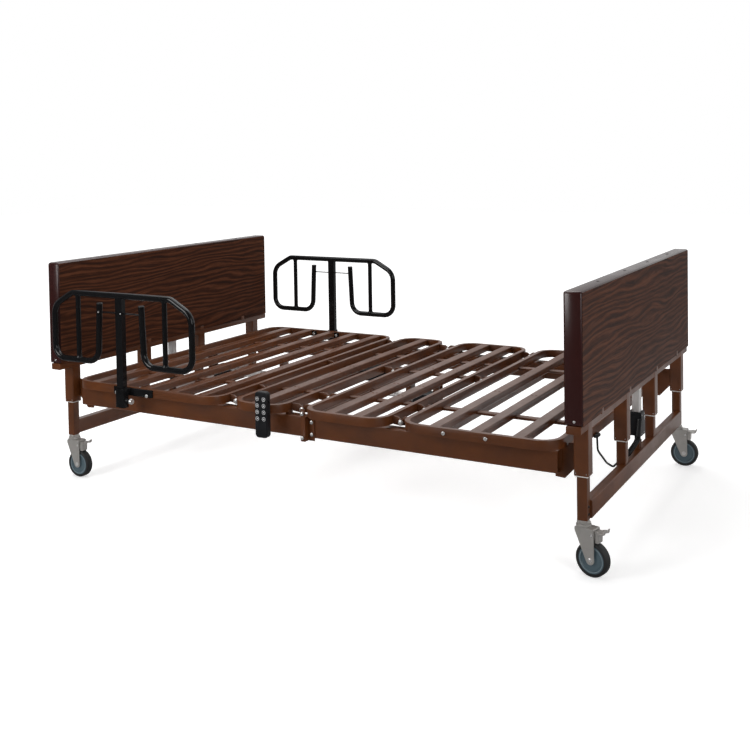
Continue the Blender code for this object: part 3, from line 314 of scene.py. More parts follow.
def tube(bm, path, radius, sides=16, place=Matrix(), caps=True):
    """Round bar along a path; a list of radii has one for each point."""
    rows, across = [], None
    turn = [2 * math.pi * k / sides for k in range(sides)]
    for i, point in enumerate(path):
        on = (path[min(i + 1, len(path) - 1)] - path[max(i - 1, 0)]).normalized()
        across = across or on.orthogonal().normalized()
        across = (across - on * across.dot(on)).normalized()
        other = on.cross(across)
        size = radius[i] if isinstance(radius, list) else radius
        rows.append([bm.verts.new(place @ (point + (across * math.cos(a) + other * math.sin(a)) * size))
                     for a in turn])
    for low, high in zip(rows, rows[1:]):
        walls(bm, low, high)
    if caps:
        bm.faces.new(rows[0])
        bm.faces.new(rows[-1])


# Lengths are measured from midway between the bed ends. The casters trail, so the whole bed's middle
# lies a little further towards the foot.
MIDDLE = 0.027166
hose_plastic = finish_with("hose_plastic", (0.010, 0.010, 0.011), (0.020, 0.020, 0.021), (0.20, 0.32))
lead_plastic = finish_with("lead_plastic", (0.010, 0.010, 0.010), (0.016, 0.016, 0.016), (0.36, 0.48))
hose_y = -0.0303
clip = 0.9718 - MIDDLE
strap_z = 0.3165
lead = rounded([((clip, -0.226, 0.322), 0), ((clip, -0.219, 0.262), 0.030),
                ((1.000 - MIDDLE, -0.212, 0.222), 0.030), ((1.0190 - MIDDLE, -0.203, 0.2085), 0.012),
                ((1.0225 - MIDDLE, -0.164, 0.2125), 0.020), ((1.0245 - MIDDLE, -0.144, 0.2225), 0)])
hose = rounded([((1.0237 - MIDDLE, -0.148, 0.2215), 0), ((1.044 - MIDDLE, -0.104, 0.2305), 0.030),
                ((1.0575 - MIDDLE, hose_y, 0.262), 0.020), ((1.0635 - MIDDLE, hose_y, 0.334), 0)], 12)


def resample(path, gap):
    """Points along a path at even spacing."""
    points, left = [path[0]], gap
    for a, b in zip(path, path[1:]):
        run = (b - a).length
        while run >= left:
            a = a + (b - a).normalized() * left
            run -= left
            left = gap
            points.append(a)
        left -= run
    return points


hose_r, rib_height, rib_pitch = 0.0082, 0.0008, 0.0036
steps = resample(hose, rib_pitch / 4)
ribs = [hose_r + rib_height * math.cos(2 * math.pi * i / 4) for i in range(len(steps))]
bm = bmesh.new()
tube(bm, steps, ribs, 16)
keep("foot_hose", bm, hose_plastic, "foot_legs", ["foot_lift_cable"])
lead_r, strap_r = 0.0035, 0.0060
bm = bmesh.new()
tube(bm, lead, lead_r, 12)
strap = rounded([((clip - 0.0030, -0.246, strap_z), 0), ((clip + 0.0030, -0.246, strap_z), 0.0025),
                 ((clip + 0.0055, -0.2335, strap_z), 0.005), ((clip + 0.0055, -0.2185, strap_z), 0.005),
                 ((clip - 0.0030, -0.2155, strap_z), 0)], 6)
tube(bm, strap, strap_r, 10)
cable = keep("foot_cable", bm, lead_plastic, None, ["foot_lift_cable"])
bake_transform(cable)


# Lower frames
# Four square steel posts welded on a square sill at each end, sprayed with the same satin brown powder
# coat as the rest of the frame. The coat is rounded over every edge and weld.

# The slow blotches between its light and dark brown are painted mottled reflections and shade.
BROWN = finish_with("brown_powder_coat", (0.150, 0.045, 0.0115), (0.060, 0.0175, 0.0048), (0.28, 0.38),
                    fine=420.0, slow=11.0, bump=0.00009)
SCREW_STEEL = finish_with("bright_zinc", (0.78, 0.77, 0.76), (0.62, 0.61, 0.60), (0.22, 0.38), 0.65)
BLACK_STEEL = finish_with("black_steel", (0.012, 0.012, 0.013), (0.02, 0.02, 0.021), (0.24, 0.34))


def round_off(bm, width, segments=2, sharp=40.0, profile=0.6):
    """Round over every edge that turns by more than a sharp angle."""
    edges = [e for e in bm.edges if len(e.link_faces) == 2 and e.calc_face_angle(0.0) > math.radians(sharp)]
    bmesh.ops.bevel(bm, geom=edges, offset=width, segments=segments, profile=profile,
                    affect="EDGES", clamp_overlap=True)


def dressed(node, width=0.0012, segments=2, sharp=30.0, trim=None):
    """Merged copy of a CAD piece, trimmed if it needs it, with its edges rounded over."""
    bm = bmesh.new()
    bm.from_mesh(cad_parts[node].data)
    bmesh.ops.remove_doubles(bm, verts=bm.verts, dist=0.00002)
    if trim:
        trim(bm)
    bmesh.ops.dissolve_limit(bm, angle_limit=math.radians(0.7), verts=bm.verts, edges=bm.edges)
    round_off(bm, width, segments, sharp)
    bmesh.ops.remove_doubles(bm, verts=bm.verts, dist=0.000005)
    for face in bm.faces:
        face.material_index = 0
    return bm


def screw_tree():
    """Sets a screw head on every point, square to the point's facing and turned at random."""
    tree = bpy.data.node_groups.new("heads_on_points", "GeometryNodeTree")
    face = tree.interface
    for name, kind in (("Geometry", "Geometry"), ("Head", "Object"), ("Seed", "Int"), ("Finish", "Material")):
        face.new_socket(name, in_out="INPUT", socket_type="NodeSocket" + kind)
    face.new_socket("Geometry", in_out="OUTPUT", socket_type="NodeSocketGeometry")
    names = ["NodeGroupInput", "GeometryNodeMeshToPoints", "GeometryNodeObjectInfo",
             "GeometryNodeInputNamedAttribute", "FunctionNodeAlignRotationToVector",
             "FunctionNodeRandomValue", "FunctionNodeAxisAngleToRotation", "FunctionNodeRotateRotation",
             "GeometryNodeInstanceOnPoints", "GeometryNodeRealizeInstances", "GeometryNodeSetMaterial",
             "NodeGroupOutput"]
    start, points, head, facing, align, chance, spin, turn, place, real, paint, end = (
        tree.nodes.new(n) for n in names)
    facing.data_type = "FLOAT_VECTOR"
    facing.inputs["Name"].default_value = "facing"
    align.axis = "Z"
    chance.data_type = "FLOAT"
    chance.inputs[3].default_value = 2 * math.pi
    spin.inputs["Axis"].default_value = (0.0, 0.0, 1.0)
    turn.rotation_space = "LOCAL"
    link(tree, start.outputs["Geometry"], points.inputs["Mesh"])
    link(tree, start.outputs["Head"], head.inputs["Object"])
    link(tree, start.outputs["Seed"], chance.inputs["Seed"])
    link(tree, facing.outputs["Attribute"], align.inputs["Vector"])
    link(tree, chance.outputs[1], spin.inputs["Angle"])
    link(tree, align.outputs["Rotation"], turn.inputs["Rotation"])
    link(tree, spin.outputs["Rotation"], turn.inputs["Rotate By"])
    link(tree, points.outputs["Points"], place.inputs["Points"])
    link(tree, head.outputs["Geometry"], place.inputs["Instance"])
    link(tree, turn.outputs["Rotation"], place.inputs["Rotation"])
    link(tree, place.outputs["Instances"], real.inputs["Geometry"])
    link(tree, real.outputs["Geometry"], paint.inputs["Geometry"])
    link(tree, start.outputs["Finish"], paint.inputs["Material"])
    link(tree, paint.outputs["Geometry"], end.inputs["Geometry"])
    return tree


SCREW_TREE = screw_tree()


def turned(bm, profile, steps=32, place=Matrix(), index=0, closed=False):
    """Lathe (radius, height) pairs about Z; a closed profile is a ring with a bore."""
    rows = [[bm.verts.new(place @ Vector((r * math.cos(2 * math.pi * k / steps),
                                          r * math.sin(2 * math.pi * k / steps), z)))
             for k in range(steps)] for r, z in profile]
    pairs = list(zip(rows, rows[1:])) + ([(rows[-1], rows[0])] if closed else [])
    faces = [face for low, high in pairs for face in walls(bm, low, high)]
    if not closed:
        faces += [bm.faces.new(rows[0]), bm.faces.new(rows[-1])]
    for face in faces:
        face.material_index = index


def pan_head(radius, height, socket=0.42):
    """Low domed screw head with a round socket, its foot on z = 0."""
    bm = bmesh.new()
    turned(bm, [(radius, -0.0004), (radius, height * 0.45), (radius * 0.86, height * 0.86),
                (radius * 0.6, height), (radius * socket, height),
                (radius * socket * 0.9, height * 0.35)], 12)
    return bm


def hex_head(radius, height):
    """Six-sided bolt head on a round flange."""
    bm = bmesh.new()
    turned(bm, [(radius * 1.12, -0.0004), (radius * 1.12, height * 0.2), (radius * 1.0, height * 0.28)], 12)
    turned(bm, [(radius * 0.96, height * 0.2), (radius * 0.96, height * 0.86), (radius * 0.8, height)], 6)
    return bm


def heads(name, head, spots, finish, body, seed=1):
    """Finished screws: one head on each (point, facing)."""
    shape = bpy.data.meshes.new("head")
    bmesh.ops.recalc_face_normals(head, faces=head.faces)
    head.to_mesh(shape)
    head.free()
    pattern = bpy.data.objects.new("head", shape)
    bpy.context.scene.collection.objects.link(pattern)
    mesh = bpy.data.meshes.new(name)
    mesh.from_pydata([spot for spot, _ in spots], [], [])
    facing = mesh.attributes.new("facing", "FLOAT_VECTOR", "POINT")
    for i, (_, way) in enumerate(spots):
        facing.data[i].vector = way
    holder = bpy.data.objects.new(name + "_points", mesh)
    bpy.context.scene.collection.objects.link(holder)
    modifier = holder.modifiers.new("heads", "NODES")
    modifier.node_group = SCREW_TREE
    sockets = {s.name: s.identifier for s in SCREW_TREE.interface.items_tree if s.in_out == "INPUT"}
    modifier[sockets["Head"]] = pattern
    modifier[sockets["Seed"]] = seed
    modifier[sockets["Finish"]] = finish
    graph = bpy.context.evaluated_depsgraph_get()
    made = bpy.data.meshes.new_from_object(holder.evaluated_get(graph))
    bpy.data.objects.remove(holder)
    bpy.data.objects.remove(pattern)
    return keep_mesh(name, made, finish, body, sharp=40.0)


ENDS = (("head", -1), ("foot", 1))
POST_X = 1.0445   # posts, sleeves and lifts stand this far either way of the middle
OUTER_POST, INNER_POST = 0.598, 0.183
for end, way in ENDS:
    node = end + "_lower_frame"
    outer = way * POST_X - MIDDLE + way * 0.0159
    keep(end + "_legs_frame", dressed(node, 0.0014), BROWN, end + "_legs", [node])
    spots = [((outer, y * OUTER_POST, z), (way, 0, 0)) for y in (-1, 1) for z in (0.181, 0.204)]
    heads(end + "_sill_bolts", pan_head(0.0042, 0.0018), spots, BLACK_STEEL, end + "_legs", 3)


# Casters
# Pressed steel forks in dull zinc under a two-row ball race, with a grey-blue plastic wheel in a black
# rubber tyre and a stamped foot brake. Each swings on a stem pushed into its post.

DULL_ZINC = finish_with("dull_zinc", (0.56, 0.54, 0.515), (0.40, 0.38, 0.36), (0.28, 0.46), 0.55, slow=38.0)
TYRE = finish_with("tyre_rubber", (0.012, 0.012, 0.013), (0.02, 0.02, 0.02), (0.5, 0.66))
DISC = finish_with("disc_plastic", (0.090, 0.135, 0.160), (0.070, 0.108, 0.130), (0.33, 0.44))
# A paler grey-blue for the rings set in the disc's two grooves.
DISC_RING = finish_with("worn_ring", (0.27, 0.33, 0.36), (0.20, 0.25, 0.28), (0.33, 0.44))
WHEEL_R = 0.0525
TRAIL = 0.030
STEM_Y = 0.597
# name, way along the bed, way across it, swing in degrees
CASTERS = (("near_head", -1, -1, 0.0), ("far_head", -1, 1, 0.0),
           ("near_foot", 1, -1, -12.0), ("far_foot", 1, 1, 3.0))


def plate(bm, outline, low, high, place=Matrix(), index=0, axis=1):
    """Flat outline, given thickness along the axis that it leaves out."""
    rows = []
    for along in (low, high):
        row = []
        for a, b in outline:
            spot = [a, b]
            spot.insert(axis, along)
            row.append(bm.verts.new(place @ Vector(spot)))
        rows.append(row)
    for face in [bm.faces.new(rows[0]), bm.faces.new(rows[1])] + walls(bm, *rows):
        face.material_index = index


def shaft(place, x, z):
    """Stand of a shaft that lies across at a spot in X and Z."""
    return place @ Matrix.Translation((x, 0, z)) @ Matrix.Rotation(math.radians(90), 4, "X")


def arc(centre, radius, start, end, steps):
    """Points round a centre from one angle to another."""
    turns = [math.radians(start + (end - start) * i / steps) for i in range(steps + 1)]
    return [(centre[0] + radius * math.cos(a), centre[1] + radius * math.sin(a)) for a in turns]


def fork(place):
    """Two pressed legs hanging from a crown, ball race, axle and its nuts."""
    bm = bmesh.new()
    outline = [(0.0425, 0.1445), (-0.0195, 0.1445), (-0.0207, 0.1430), (-0.0207, 0.134)]
    outline += arc((TRAIL, WHEEL_R), 0.0135, 205, 375, 14) + [(0.0425, 0.118)]
    for side in (-1, 1):
        plate(bm, outline, side * 0.0165, side * 0.0195, place)
    crown = [(-0.0195, 0.1425)] + arc((-0.0165, 0.1432), 0.0030, 180, 90, 3)
    crown += arc((0.0385, 0.1422), 0.0040, 90, 0, 3) + [(0.0425, 0.1412)]
    plate(bm, crown, -0.0190, 0.0190, place)
    round_off(bm, 0.0005)
    turned(bm, [(0.0190, 0.1444), (0.0222, 0.1462), (0.0235, 0.1480), (0.0235, 0.1512), (0.0220, 0.1528),
                (0.0190, 0.1534), (0.0190, 0.1544), (0.0208, 0.1556), (0.0208, 0.1588), (0.0175, 0.1608),
                (0.0168, 0.1646), (0.0060, 0.1646), (0.0060, 0.1848)], 40, place)
    axle = shaft(place, TRAIL, WHEEL_R)
    turned(bm, [(0.0040, -0.0222), (0.0040, 0.0222)], 20, axle, 1)
    for side in (-1, 1):
        washer = [(0.0078, side * 0.0192), (0.0078, side * 0.0200), (0.0050, side * 0.0202)]
        turned(bm, washer, 24, axle, 1)
        nut = [(0.0065, side * 0.0198), (0.0065, side * 0.0214), (0.0052, side * 0.0220)]
        turned(bm, nut, 6, axle, 1)
    pivot = shaft(place, 0.036, 0.128)
    turned(bm, [(0.0046, -0.0207), (0.0046, -0.0199), (0.0030, -0.0197), (0.0030, 0.0197), (0.0046, 0.0199),
                (0.0046, 0.0207)], 16, pivot, 1)
    return bm


def wheel(place):
    """Moulded disc with two turned grooves and a hub, in a rounded tyre."""
    bm = bmesh.new()
    axle = shaft(place, TRAIL, WHEEL_R)
    half = [(0.0042, 0.0145), (0.0112, 0.0145), (0.0124, 0.0136), (0.0130, 0.0108), (0.0155, 0.0100),
            (0.0330, 0.0104), (0.0342, 0.0118), (0.0350, 0.0128), (0.0368, 0.0128), (0.0373, 0.0120),
            (0.0382, 0.0120), (0.0387, 0.0128), (0.0418, 0.0126), (0.0424, 0.0116)]
    turned(bm, half + [(r, -z) for r, z in reversed(half)], 56, axle, 1, closed=True)
    for side in (-1, 1):
        turned(bm, [(0.0364, side * 0.0122), (0.0368, side * 0.0131), (0.0383, side * 0.0131),
                    (0.0387, side * 0.0122)], 56, axle, 2, closed=True)
    tread = [(0.0419, 0.0120), (0.0428, 0.0137), (0.0484, 0.0141), (0.0506, 0.0132), (0.0520, 0.0114),
             (0.0525, 0.0088), (0.0525, 0.0)]
    turned(bm, tread + [(r, -z) for r, z in reversed(tread[:-1])], 56, axle, 0, closed=True)
    return bm


for name, along, across, swing in CASTERS:
    stem = Vector((along * POST_X - MIDDLE, across * STEM_Y, 0.0))
    place = Matrix.Translation(stem) @ Matrix.Rotation(math.radians(swing), 4, "Z")
    keep(name + "_fork_pressing", fork(place), [DULL_ZINC, SCREW_STEEL], name + "_fork",
         [name + "_caster_fork"], 28.0)
    keep(name + "_tyred_wheel", wheel(place), [TYRE, DISC, DISC_RING], name + "_wheel",
         [name + "_caster_wheel"], 30.0)
    keep(name + "_brake_stamping", dressed(name + "_brake_pedal", 0.0006, 2, 25.0), DULL_ZINC,
         name + "_pedal", [name + "_brake_pedal"], 40.0)


# Lifts
# A grooved aluminium tube stands on each motor in the middle of a bed end. The motor's black plastic
# housing is closed by four small screws and pinned to the sill. A steel rod inside the panel pushes the
# end up.

ALUMINIUM = finish_with("drawn_aluminium", (0.82, 0.80, 0.79), (0.70, 0.68, 0.67), (0.26, 0.38), 0.5,
                        slow=12.0)
HOUSING = finish_with("black_housing", (0.0075, 0.0078, 0.0095), (0.013, 0.0135, 0.0155), (0.34, 0.48),
                      specular=0.24)
TUBE_FOOT, TUBE_TOP = 0.3523, 0.710
half_x, half_y, deep = 0.0138, 0.0148, 0.0011
for end, way in ENDS:
    x = way * POST_X - MIDDLE
    bm = bmesh.new()
    outline = []
    for turn in range(4):
        a, b = (half_x, half_y) if turn % 2 == 0 else (half_y, half_x)
        spots = [(a, -b + 0.004)]
        for groove in (-0.0062, 0.0, 0.0062):
            spots += [(a, groove - 0.0011), (a - deep, groove - 0.0006), (a - deep, groove + 0.0006),
                      (a, groove + 0.0011)]
        spots += [(a, b - 0.004), (a - 0.0012, b - 0.0012)]
        c, s = (1, 0, -1, 0)[turn], (0, 1, 0, -1)[turn]
        outline += [(x + (u * c - v * s), u * s + v * c) for u, v in spots]
    plate(bm, outline, TUBE_FOOT, TUBE_TOP, axis=2)
    keep(end + "_lift_extrusion", bm, ALUMINIUM, end + "_legs", [end + "_lift_tube"], 25.0)
    body = dressed(end + "_lift_motor", 0.0022, 3, 25.0)
    keep(end + "_lift_housing", body, HOUSING, end + "_legs", [end + "_lift_motor"])
    spots = [((x + way * 0.0215, y, z), (way, 0, 0)) for y in (-0.015, 0.017) for z in (0.278, 0.343)]
    heads(end + "_housing_screws", pan_head(0.0024, 0.0010), spots, SCREW_STEEL, end + "_legs", 5)
    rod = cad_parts[end + "_lift_rod"].data
    rod.materials.clear()
    rod.materials.append(SCREW_STEEL)


# Upper frames
# The top beam carries the panel on four square sleeves that drop over the posts. Each sleeve ends in a
# white nylon glide held by tiny screws; bent plates reach in to hook on the base frame.

NYLON = finish_with("white_nylon", (0.72, 0.70, 0.67), (0.62, 0.60, 0.57), (0.35, 0.5))
# each plate's outline in X and Z, X measured outwards from the middle
HOOK = [(0.952, 0.2765), (0.982, 0.2745), (1.0225, 0.3185), (1.0225, 0.386), (0.9950, 0.384),
        (0.9915, 0.3755), (0.9695, 0.3745), (0.9695, 0.306), (0.952, 0.306)]


def without_tongues(bm):
    """Take the straight tongues off the sleeves and close the face where each one stood."""
    near, far, height, half = 0.6090, 0.6174, 0.331, 0.0262
    tongue = {v for v in bm.verts if near < abs(v.co.y) < far and abs(v.co.z - height) < half}
    sides = [f for f in bm.faces if all(v in tongue for v in f.verts)]
    bmesh.ops.delete(bm, geom=sides, context="FACES")
    bmesh.ops.holes_fill(bm, edges=[e for e in bm.edges if e.is_boundary], sides=0)


HOOK_Y = (0.5775, 0.5815)
# half width and height of each corner of a glide's rim
GLIDE = ((0.0205, 0.3003), (0.0208, 0.2988), (0.0205, 0.2964), (0.0163, 0.2964), (0.0163, 0.3003))
SCREW_Z = 0.3072
for end, way in ENDS:
    node = end + "_upper_frame"
    body = dressed(node, 0.0014, trim=without_tongues)
    keep(end + "_sleeve_frame", body, BROWN, "bed", [node])
    bm = bmesh.new()
    for side in (-1, 1):
        plate(bm, [(way * along - MIDDLE, z) for along, z in HOOK], *(side * y for y in HOOK_Y))
    round_off(bm, 0.0008)
    keep(end + "_hook_plates", bm, BROWN, "bed")
    x = way * POST_X - MIDDLE
    bm = bmesh.new()
    spots = []
    for y in (-OUTER_POST, -INNER_POST, INNER_POST, OUTER_POST):
        rings = [[bm.verts.new((x + sx * half, y + sy * half, z))
                  for sx, sy in ((-1, -1), (1, -1), (1, 1), (-1, 1))] for half, z in GLIDE]
        for low, high in zip(rings, rings[1:] + rings[:1]):
            walls(bm, low, high)
        for across in (-0.0165, 0.0165):
            spots += [((x + across, y + side * 0.0225, SCREW_Z), (0, side, 0)) for side in (-1, 1)]
            spots += [((x + way * 0.0225, y + across, SCREW_Z), (way, 0, 0))]
    keep(end + "_glides", bm, NYLON, "bed")
    heads(end + "_glide_screws", pan_head(0.0015, 0.0007), spots, SCREW_STEEL, "bed", 7)


# Bed end panels
# Chipboard faced with dark figured walnut laminate, its grain level. A plum-brown plastic moulding is
# wrapped round the edge and shows as a narrow rim. Four screws go down through the top into the frame.

def walnut_group():
    """Level figured grain: pores and cathedral bands, as one dark-to-light value."""
    group = bpy.data.node_groups.new("walnut_figure", "ShaderNodeTree")
    group.interface.new_socket("Shift", in_out="INPUT", socket_type="NodeSocketVector")
    group.interface.new_socket("Figure", in_out="OUTPUT", socket_type="NodeSocketFloat")
    group.interface.new_socket("Pores", in_out="OUTPUT", socket_type="NodeSocketFloat")
    start = group.nodes.new("NodeGroupInput")
    end = group.nodes.new("NodeGroupOutput")
    coords = group.nodes.new("ShaderNodeTexCoord")
    moved = group.nodes.new("ShaderNodeVectorMath")
    moved.operation = "ADD"
    link(group, coords.outputs["Object"], moved.inputs[0])
    link(group, start.outputs["Shift"], moved.inputs[1])

    drift = preset(group.nodes.new("ShaderNodeTexNoise"), {"Scale": 1.0, "Detail": 1.5})
    broad = preset(group.nodes.new("ShaderNodeMapping"), {"Scale": (1.0, 1.7, 7.5)})
    link(group, moved.outputs[0], broad.inputs["Vector"])
    link(group, broad.outputs["Vector"], drift.inputs["Vector"])
    lifted = group.nodes.new("ShaderNodeCombineXYZ")
    link(group, ramp(group, drift.outputs["Fac"], 0.0, 1.0, -0.060, 0.060), lifted.inputs["Z"])
    bent = group.nodes.new("ShaderNodeVectorMath")
    bent.operation = "ADD"
    link(group, moved.outputs[0], bent.inputs[0])
    link(group, lifted.outputs[0], bent.inputs[1])

    def stretched(scale):
        node = preset(group.nodes.new("ShaderNodeMapping"), {"Scale": scale})
        link(group, bent.outputs[0], node.inputs["Vector"])
        return node.outputs["Vector"]

    bands = group.nodes.new("ShaderNodeTexWave")
    bands.bands_direction = "Z"
    bands.wave_profile = "SIN"
    preset(bands, {"Scale": 16.0, "Distortion": 5.0, "Detail": 3.0, "Detail Scale": 2.2,
                   "Detail Roughness": 0.55})
    link(group, stretched((1.0, 0.15, 1.0)), bands.inputs["Vector"])
    streak = preset(group.nodes.new("ShaderNodeTexNoise"),
                    {"Scale": 1.0, "Detail": 7.0, "Roughness": 0.68, "Distortion": 0.35})
    link(group, stretched((4.0, 4.2, 290.0)), streak.inputs["Vector"])
    pore = preset(group.nodes.new("ShaderNodeTexNoise"), {"Scale": 1.0, "Detail": 3.0})
    link(group, stretched((20.0, 28.0, 520.0)), pore.inputs["Vector"])
    both = preset(group.nodes.new("ShaderNodeMix"), {0: 0.80})
    link(group, bands.outputs["Fac"], both.inputs[2])
    link(group, streak.outputs["Fac"], both.inputs[3])
    link(group, both.outputs[0], end.inputs["Figure"])
    link(group, pore.outputs["Fac"], end.inputs["Pores"])
    return group


def walnut(name, shift):
    """Satin laminate in three walnut tones, cut from its own part of the figure."""
    mat, tree, shader = blank(name)
    grain = tree.nodes.new("ShaderNodeGroup")
    grain.node_tree = WALNUT_FIGURE
    preset(grain, {"Shift": shift})
    tones = tree.nodes.new("ShaderNodeValToRGB")
    tones.color_ramp.elements[0].position = 0.35
    tones.color_ramp.elements[0].color = (0.0290, 0.0128, 0.0090, 1.0)
    tones.color_ramp.elements[1].position = 0.66
    tones.color_ramp.elements[1].color = (0.120, 0.0430, 0.0215, 1.0)
    middle = tones.color_ramp.elements.new(0.49)
    middle.color = (0.060, 0.0210, 0.0112, 1.0)
    link(tree, grain.outputs["Figure"], tones.inputs["Fac"])
    link(tree, tones.outputs["Color"], shader.inputs["Base Color"])
    preset(shader, {"Specular IOR Level": 0.03})
    link(tree, ramp(tree, grain.outputs["Figure"], 0.0, 1.0, 0.42, 0.30), shader.inputs["Roughness"])
    emboss(tree, shader, grain.outputs["Pores"], 0.35, 0.0001)
    return mat


def sunk(bm, middle):
    """Draw a panel in a little, so that its sheets and screw heads lie within its true size."""
    for corner in bm.verts:
        corner.co.x = middle + (corner.co.x - middle) * (0.0281 / 0.0285)
        corner.co.z = PANEL_LOW + (corner.co.z - PANEL_LOW) * (0.3942 / 0.395)


WALNUT_FIGURE = walnut_group()
# Near-black, dull and almost without gloss: painted shade of the sunk screw holes, laid over the screw heads.
SUNK_SCREW_SHADE = finish_with("sunk_screw", (0.006, 0.006, 0.006), (0.010, 0.010, 0.010), (0.7, 0.9),
                         specular=0.05)
RIM = finish_with("plum_edging", (0.036, 0.0095, 0.0085), (0.029, 0.0075, 0.007), (0.20, 0.28))
PANEL_LOW = 0.464
OUTER_FACE, INNER_FACE = 1.0730, 1.0160
SHEET = 0.0008
SHEET_Y, SHEET_LOW, SHEET_TOP, SHEET_CORNER = 0.6812, 0.4645, 0.8545, 0.005
TABS = (-0.489, -0.179, 0.178, 0.489)
TAB_HALF, TAB_TOP = 0.0114, 0.4785
TOP_SCREWS = {"head": (-0.420, -0.116, 0.182, 0.485), "foot": (-0.439, -0.137, 0.156, 0.454)}
for end, way in ENDS:
    x = way * POST_X - MIDDLE
    bm = dressed(end + "_panel_edge", 0.0004, 1, 60.0)
    sunk(bm, x)
    keep(end + "_edging", bm, RIM, "bed", [end + "_panel_edge"], 50.0)
    laminate = walnut(end + "_walnut_laminate", (0.0, 1.7 * way, 0.35 + 0.3 * way))
    bm = dressed(end + "_panel_board", 0.0004, 1, 60.0)
    sunk(bm, x)
    for face_x, out in ((OUTER_FACE * way, way), (INNER_FACE * way, -way)):
        corner_y, corner_z = SHEET_Y - SHEET_CORNER, SHEET_TOP - SHEET_CORNER
        outline = [(-SHEET_Y, SHEET_LOW)] + arc((-corner_y, corner_z), SHEET_CORNER, 180, 90, 4)
        outline += arc((corner_y, corner_z), SHEET_CORNER, 90, 0, 4) + [(SHEET_Y, SHEET_LOW)]
        if out > 0:
            for y in reversed(TABS):
                outline += [(y + TAB_HALF, SHEET_LOW), (y + TAB_HALF, TAB_TOP),
                            (y - TAB_HALF, TAB_TOP), (y - TAB_HALF, SHEET_LOW)]
        plate(bm, outline, face_x - MIDDLE - out * SHEET, face_x - MIDDLE, axis=0)
    keep(end + "_laminated_board", bm, laminate, "bed", [end + "_panel_board"])
    # These heads carry the painted shade of the dark sunk screw holes.
    spots = [((x, y, 0.8582), (0, 0, 1)) for y in TOP_SCREWS[end]]
    heads(end + "_panel_top_screws", pan_head(0.0052, 0.0007, 0.6), spots, SUNK_SCREW_SHADE, "bed", 11)
    spots = [((x + 0.002, side * 0.6860, 0.4775), (0, side, 0)) for side in (-1, 1)]
    heads(end + "_panel_end_screws", pan_head(0.0040, 0.0012), spots, SCREW_STEEL, "bed", 13)


# Base frame
# Two welded halves of rectangular steel tube meet under the seat and are bolted together by a folded
# bracket on each side.

for node in ("base_frame_head", "base_frame_foot"):
    keep(node + "_weldment", dressed(node, 0.0016), BROWN, "bed", [node])
for name, side in (("near", -1), ("far", 1)):
    node = name + "_splice_bracket"
    keep(name + "_splice_plate", dressed(node, 0.0008), BROWN, "bed", [node])
    spots = [((0.0775 - MIDDLE, side * 0.6490, z), (0, side, 0)) for z in (0.301, 0.383)]
    spots += [((0.101 - MIDDLE, side * 0.6263, z), (0, side, 0)) for z in (0.310, 0.352)]
    heads(name + "_splice_bolts", hex_head(0.0058, 0.0030), spots, SCREW_STEEL, "bed", 17)


# Deck sections
# Four frames of bent rectangular tube with long struts of flat tube welded inside, the slats held by
# paired rivets and all painted in one go. Plates with pins hinge the frames together.

for node, body in (("back_section", "back"), ("seat_section", "bed"), ("thigh_section", "thigh"),
                   ("foot_section", "foot_deck")):
    keep(node + "_weldment", dressed(node, 0.0018), BROWN, body, [node])
SLAT_TOP = 0.4044
# per section, the X of each slat and the Y of each strut it is riveted to
SLATS = {"back": ((-0.865, -0.738, -0.611, -0.484, -0.357), (-0.143, 0.125)),
         "bed": ((-0.111,), (-0.394, -0.25, -0.10, 0.007, 0.183)),
         "thigh": ((0.194, 0.2995), (-0.349, -0.185, 0.11)),
         "foot_deck": ((0.582, 0.7215, 0.861), (-0.143, 0.143))}
for body, (slats, struts) in SLATS.items():
    spots = [((x + pair - MIDDLE, y, SLAT_TOP), (0, 0, 1))
             for x in slats for y in struts for pair in (-0.008, 0.008)]
    heads(body + "_slat_rivets", pan_head(0.0046, 0.0006, 0.62), spots, BROWN, body, 19)
spots = [((x - MIDDLE, side * 0.6750, 0.390), (0, side, 0)) for x in (0.6205, 0.7623) for side in (-1, 1)]
heads("foot_ring_bolts", pan_head(0.0062, 0.0022, 0.5), spots, SCREW_STEEL, "foot_deck", 23)
HINGE_Y, HINGE_Z = (-0.590, -0.415, 0.076, 0.590), 0.382
for body, hinge_x in (("bed", -0.2415), ("bed", 0.042), ("thigh", 0.4285)):
    spots = [((hinge_x - MIDDLE, y + 0.0096, HINGE_Z), (0, 1, 0)) for y in HINGE_Y]
    spots += [((hinge_x - MIDDLE, y - 0.0050, HINGE_Z), (0, -1, 0)) for y in HINGE_Y]
    heads("hinge_pin_heads_" + str(int(hinge_x * 1000)), hex_head(0.0082, 0.0050), spots, SCREW_STEEL,
          body, 29)


# Actuators and control box
# Black plastic motor housings on drawn aluminium tubes, one lifting the back and one the knees, each
# pinned at its tail and pushing on a steel yoke. The control box hangs beside them.

for name, body in (("back_actuator", "back"), ("knee_actuator", "thigh")):
    keep(name + "_housing", dressed(name + "_motor", 0.0028, 3, 25.0), HOUSING, body,
         [name + "_motor"])
    keep(name + "_sleeve", dressed(name + "_tube", 0.0006, 2, 40.0), ALUMINIUM, body,
         [name + "_tube"])
    rod_body = name.split("_")[0] + "_rod"
    keep(name + "_push_rod", dressed(name + "_rod", 0.0007, 2, 40.0), SCREW_STEEL, rod_body,
         [name + "_rod"])
keep("control_box_case", dressed("control_box", 0.0025, 3, 25.0), HOUSING, "bed",
     ["control_box"])


# Assist rails
# One length of round steel tube bent into each rail, with two struts, a flat post and a thin link rod
# welded in, all gloss black. Plastic plugs close the open ends. The post drops into a clamp on the deck
# and is held by a sprung pull pin.

GLOSS = finish_with("gloss_black_coat", (0.0060, 0.0060, 0.0065), (0.0085, 0.0085, 0.009), (0.11, 0.16),
                    coat=0.16, specular=0.2, fine=260.0, bump=0.00007)
PLUG = finish_with("plug_plastic", (0.012, 0.012, 0.012), (0.02, 0.02, 0.02), (0.42, 0.55))
POST_HALF = 0.016
PIN_Z = 0.360


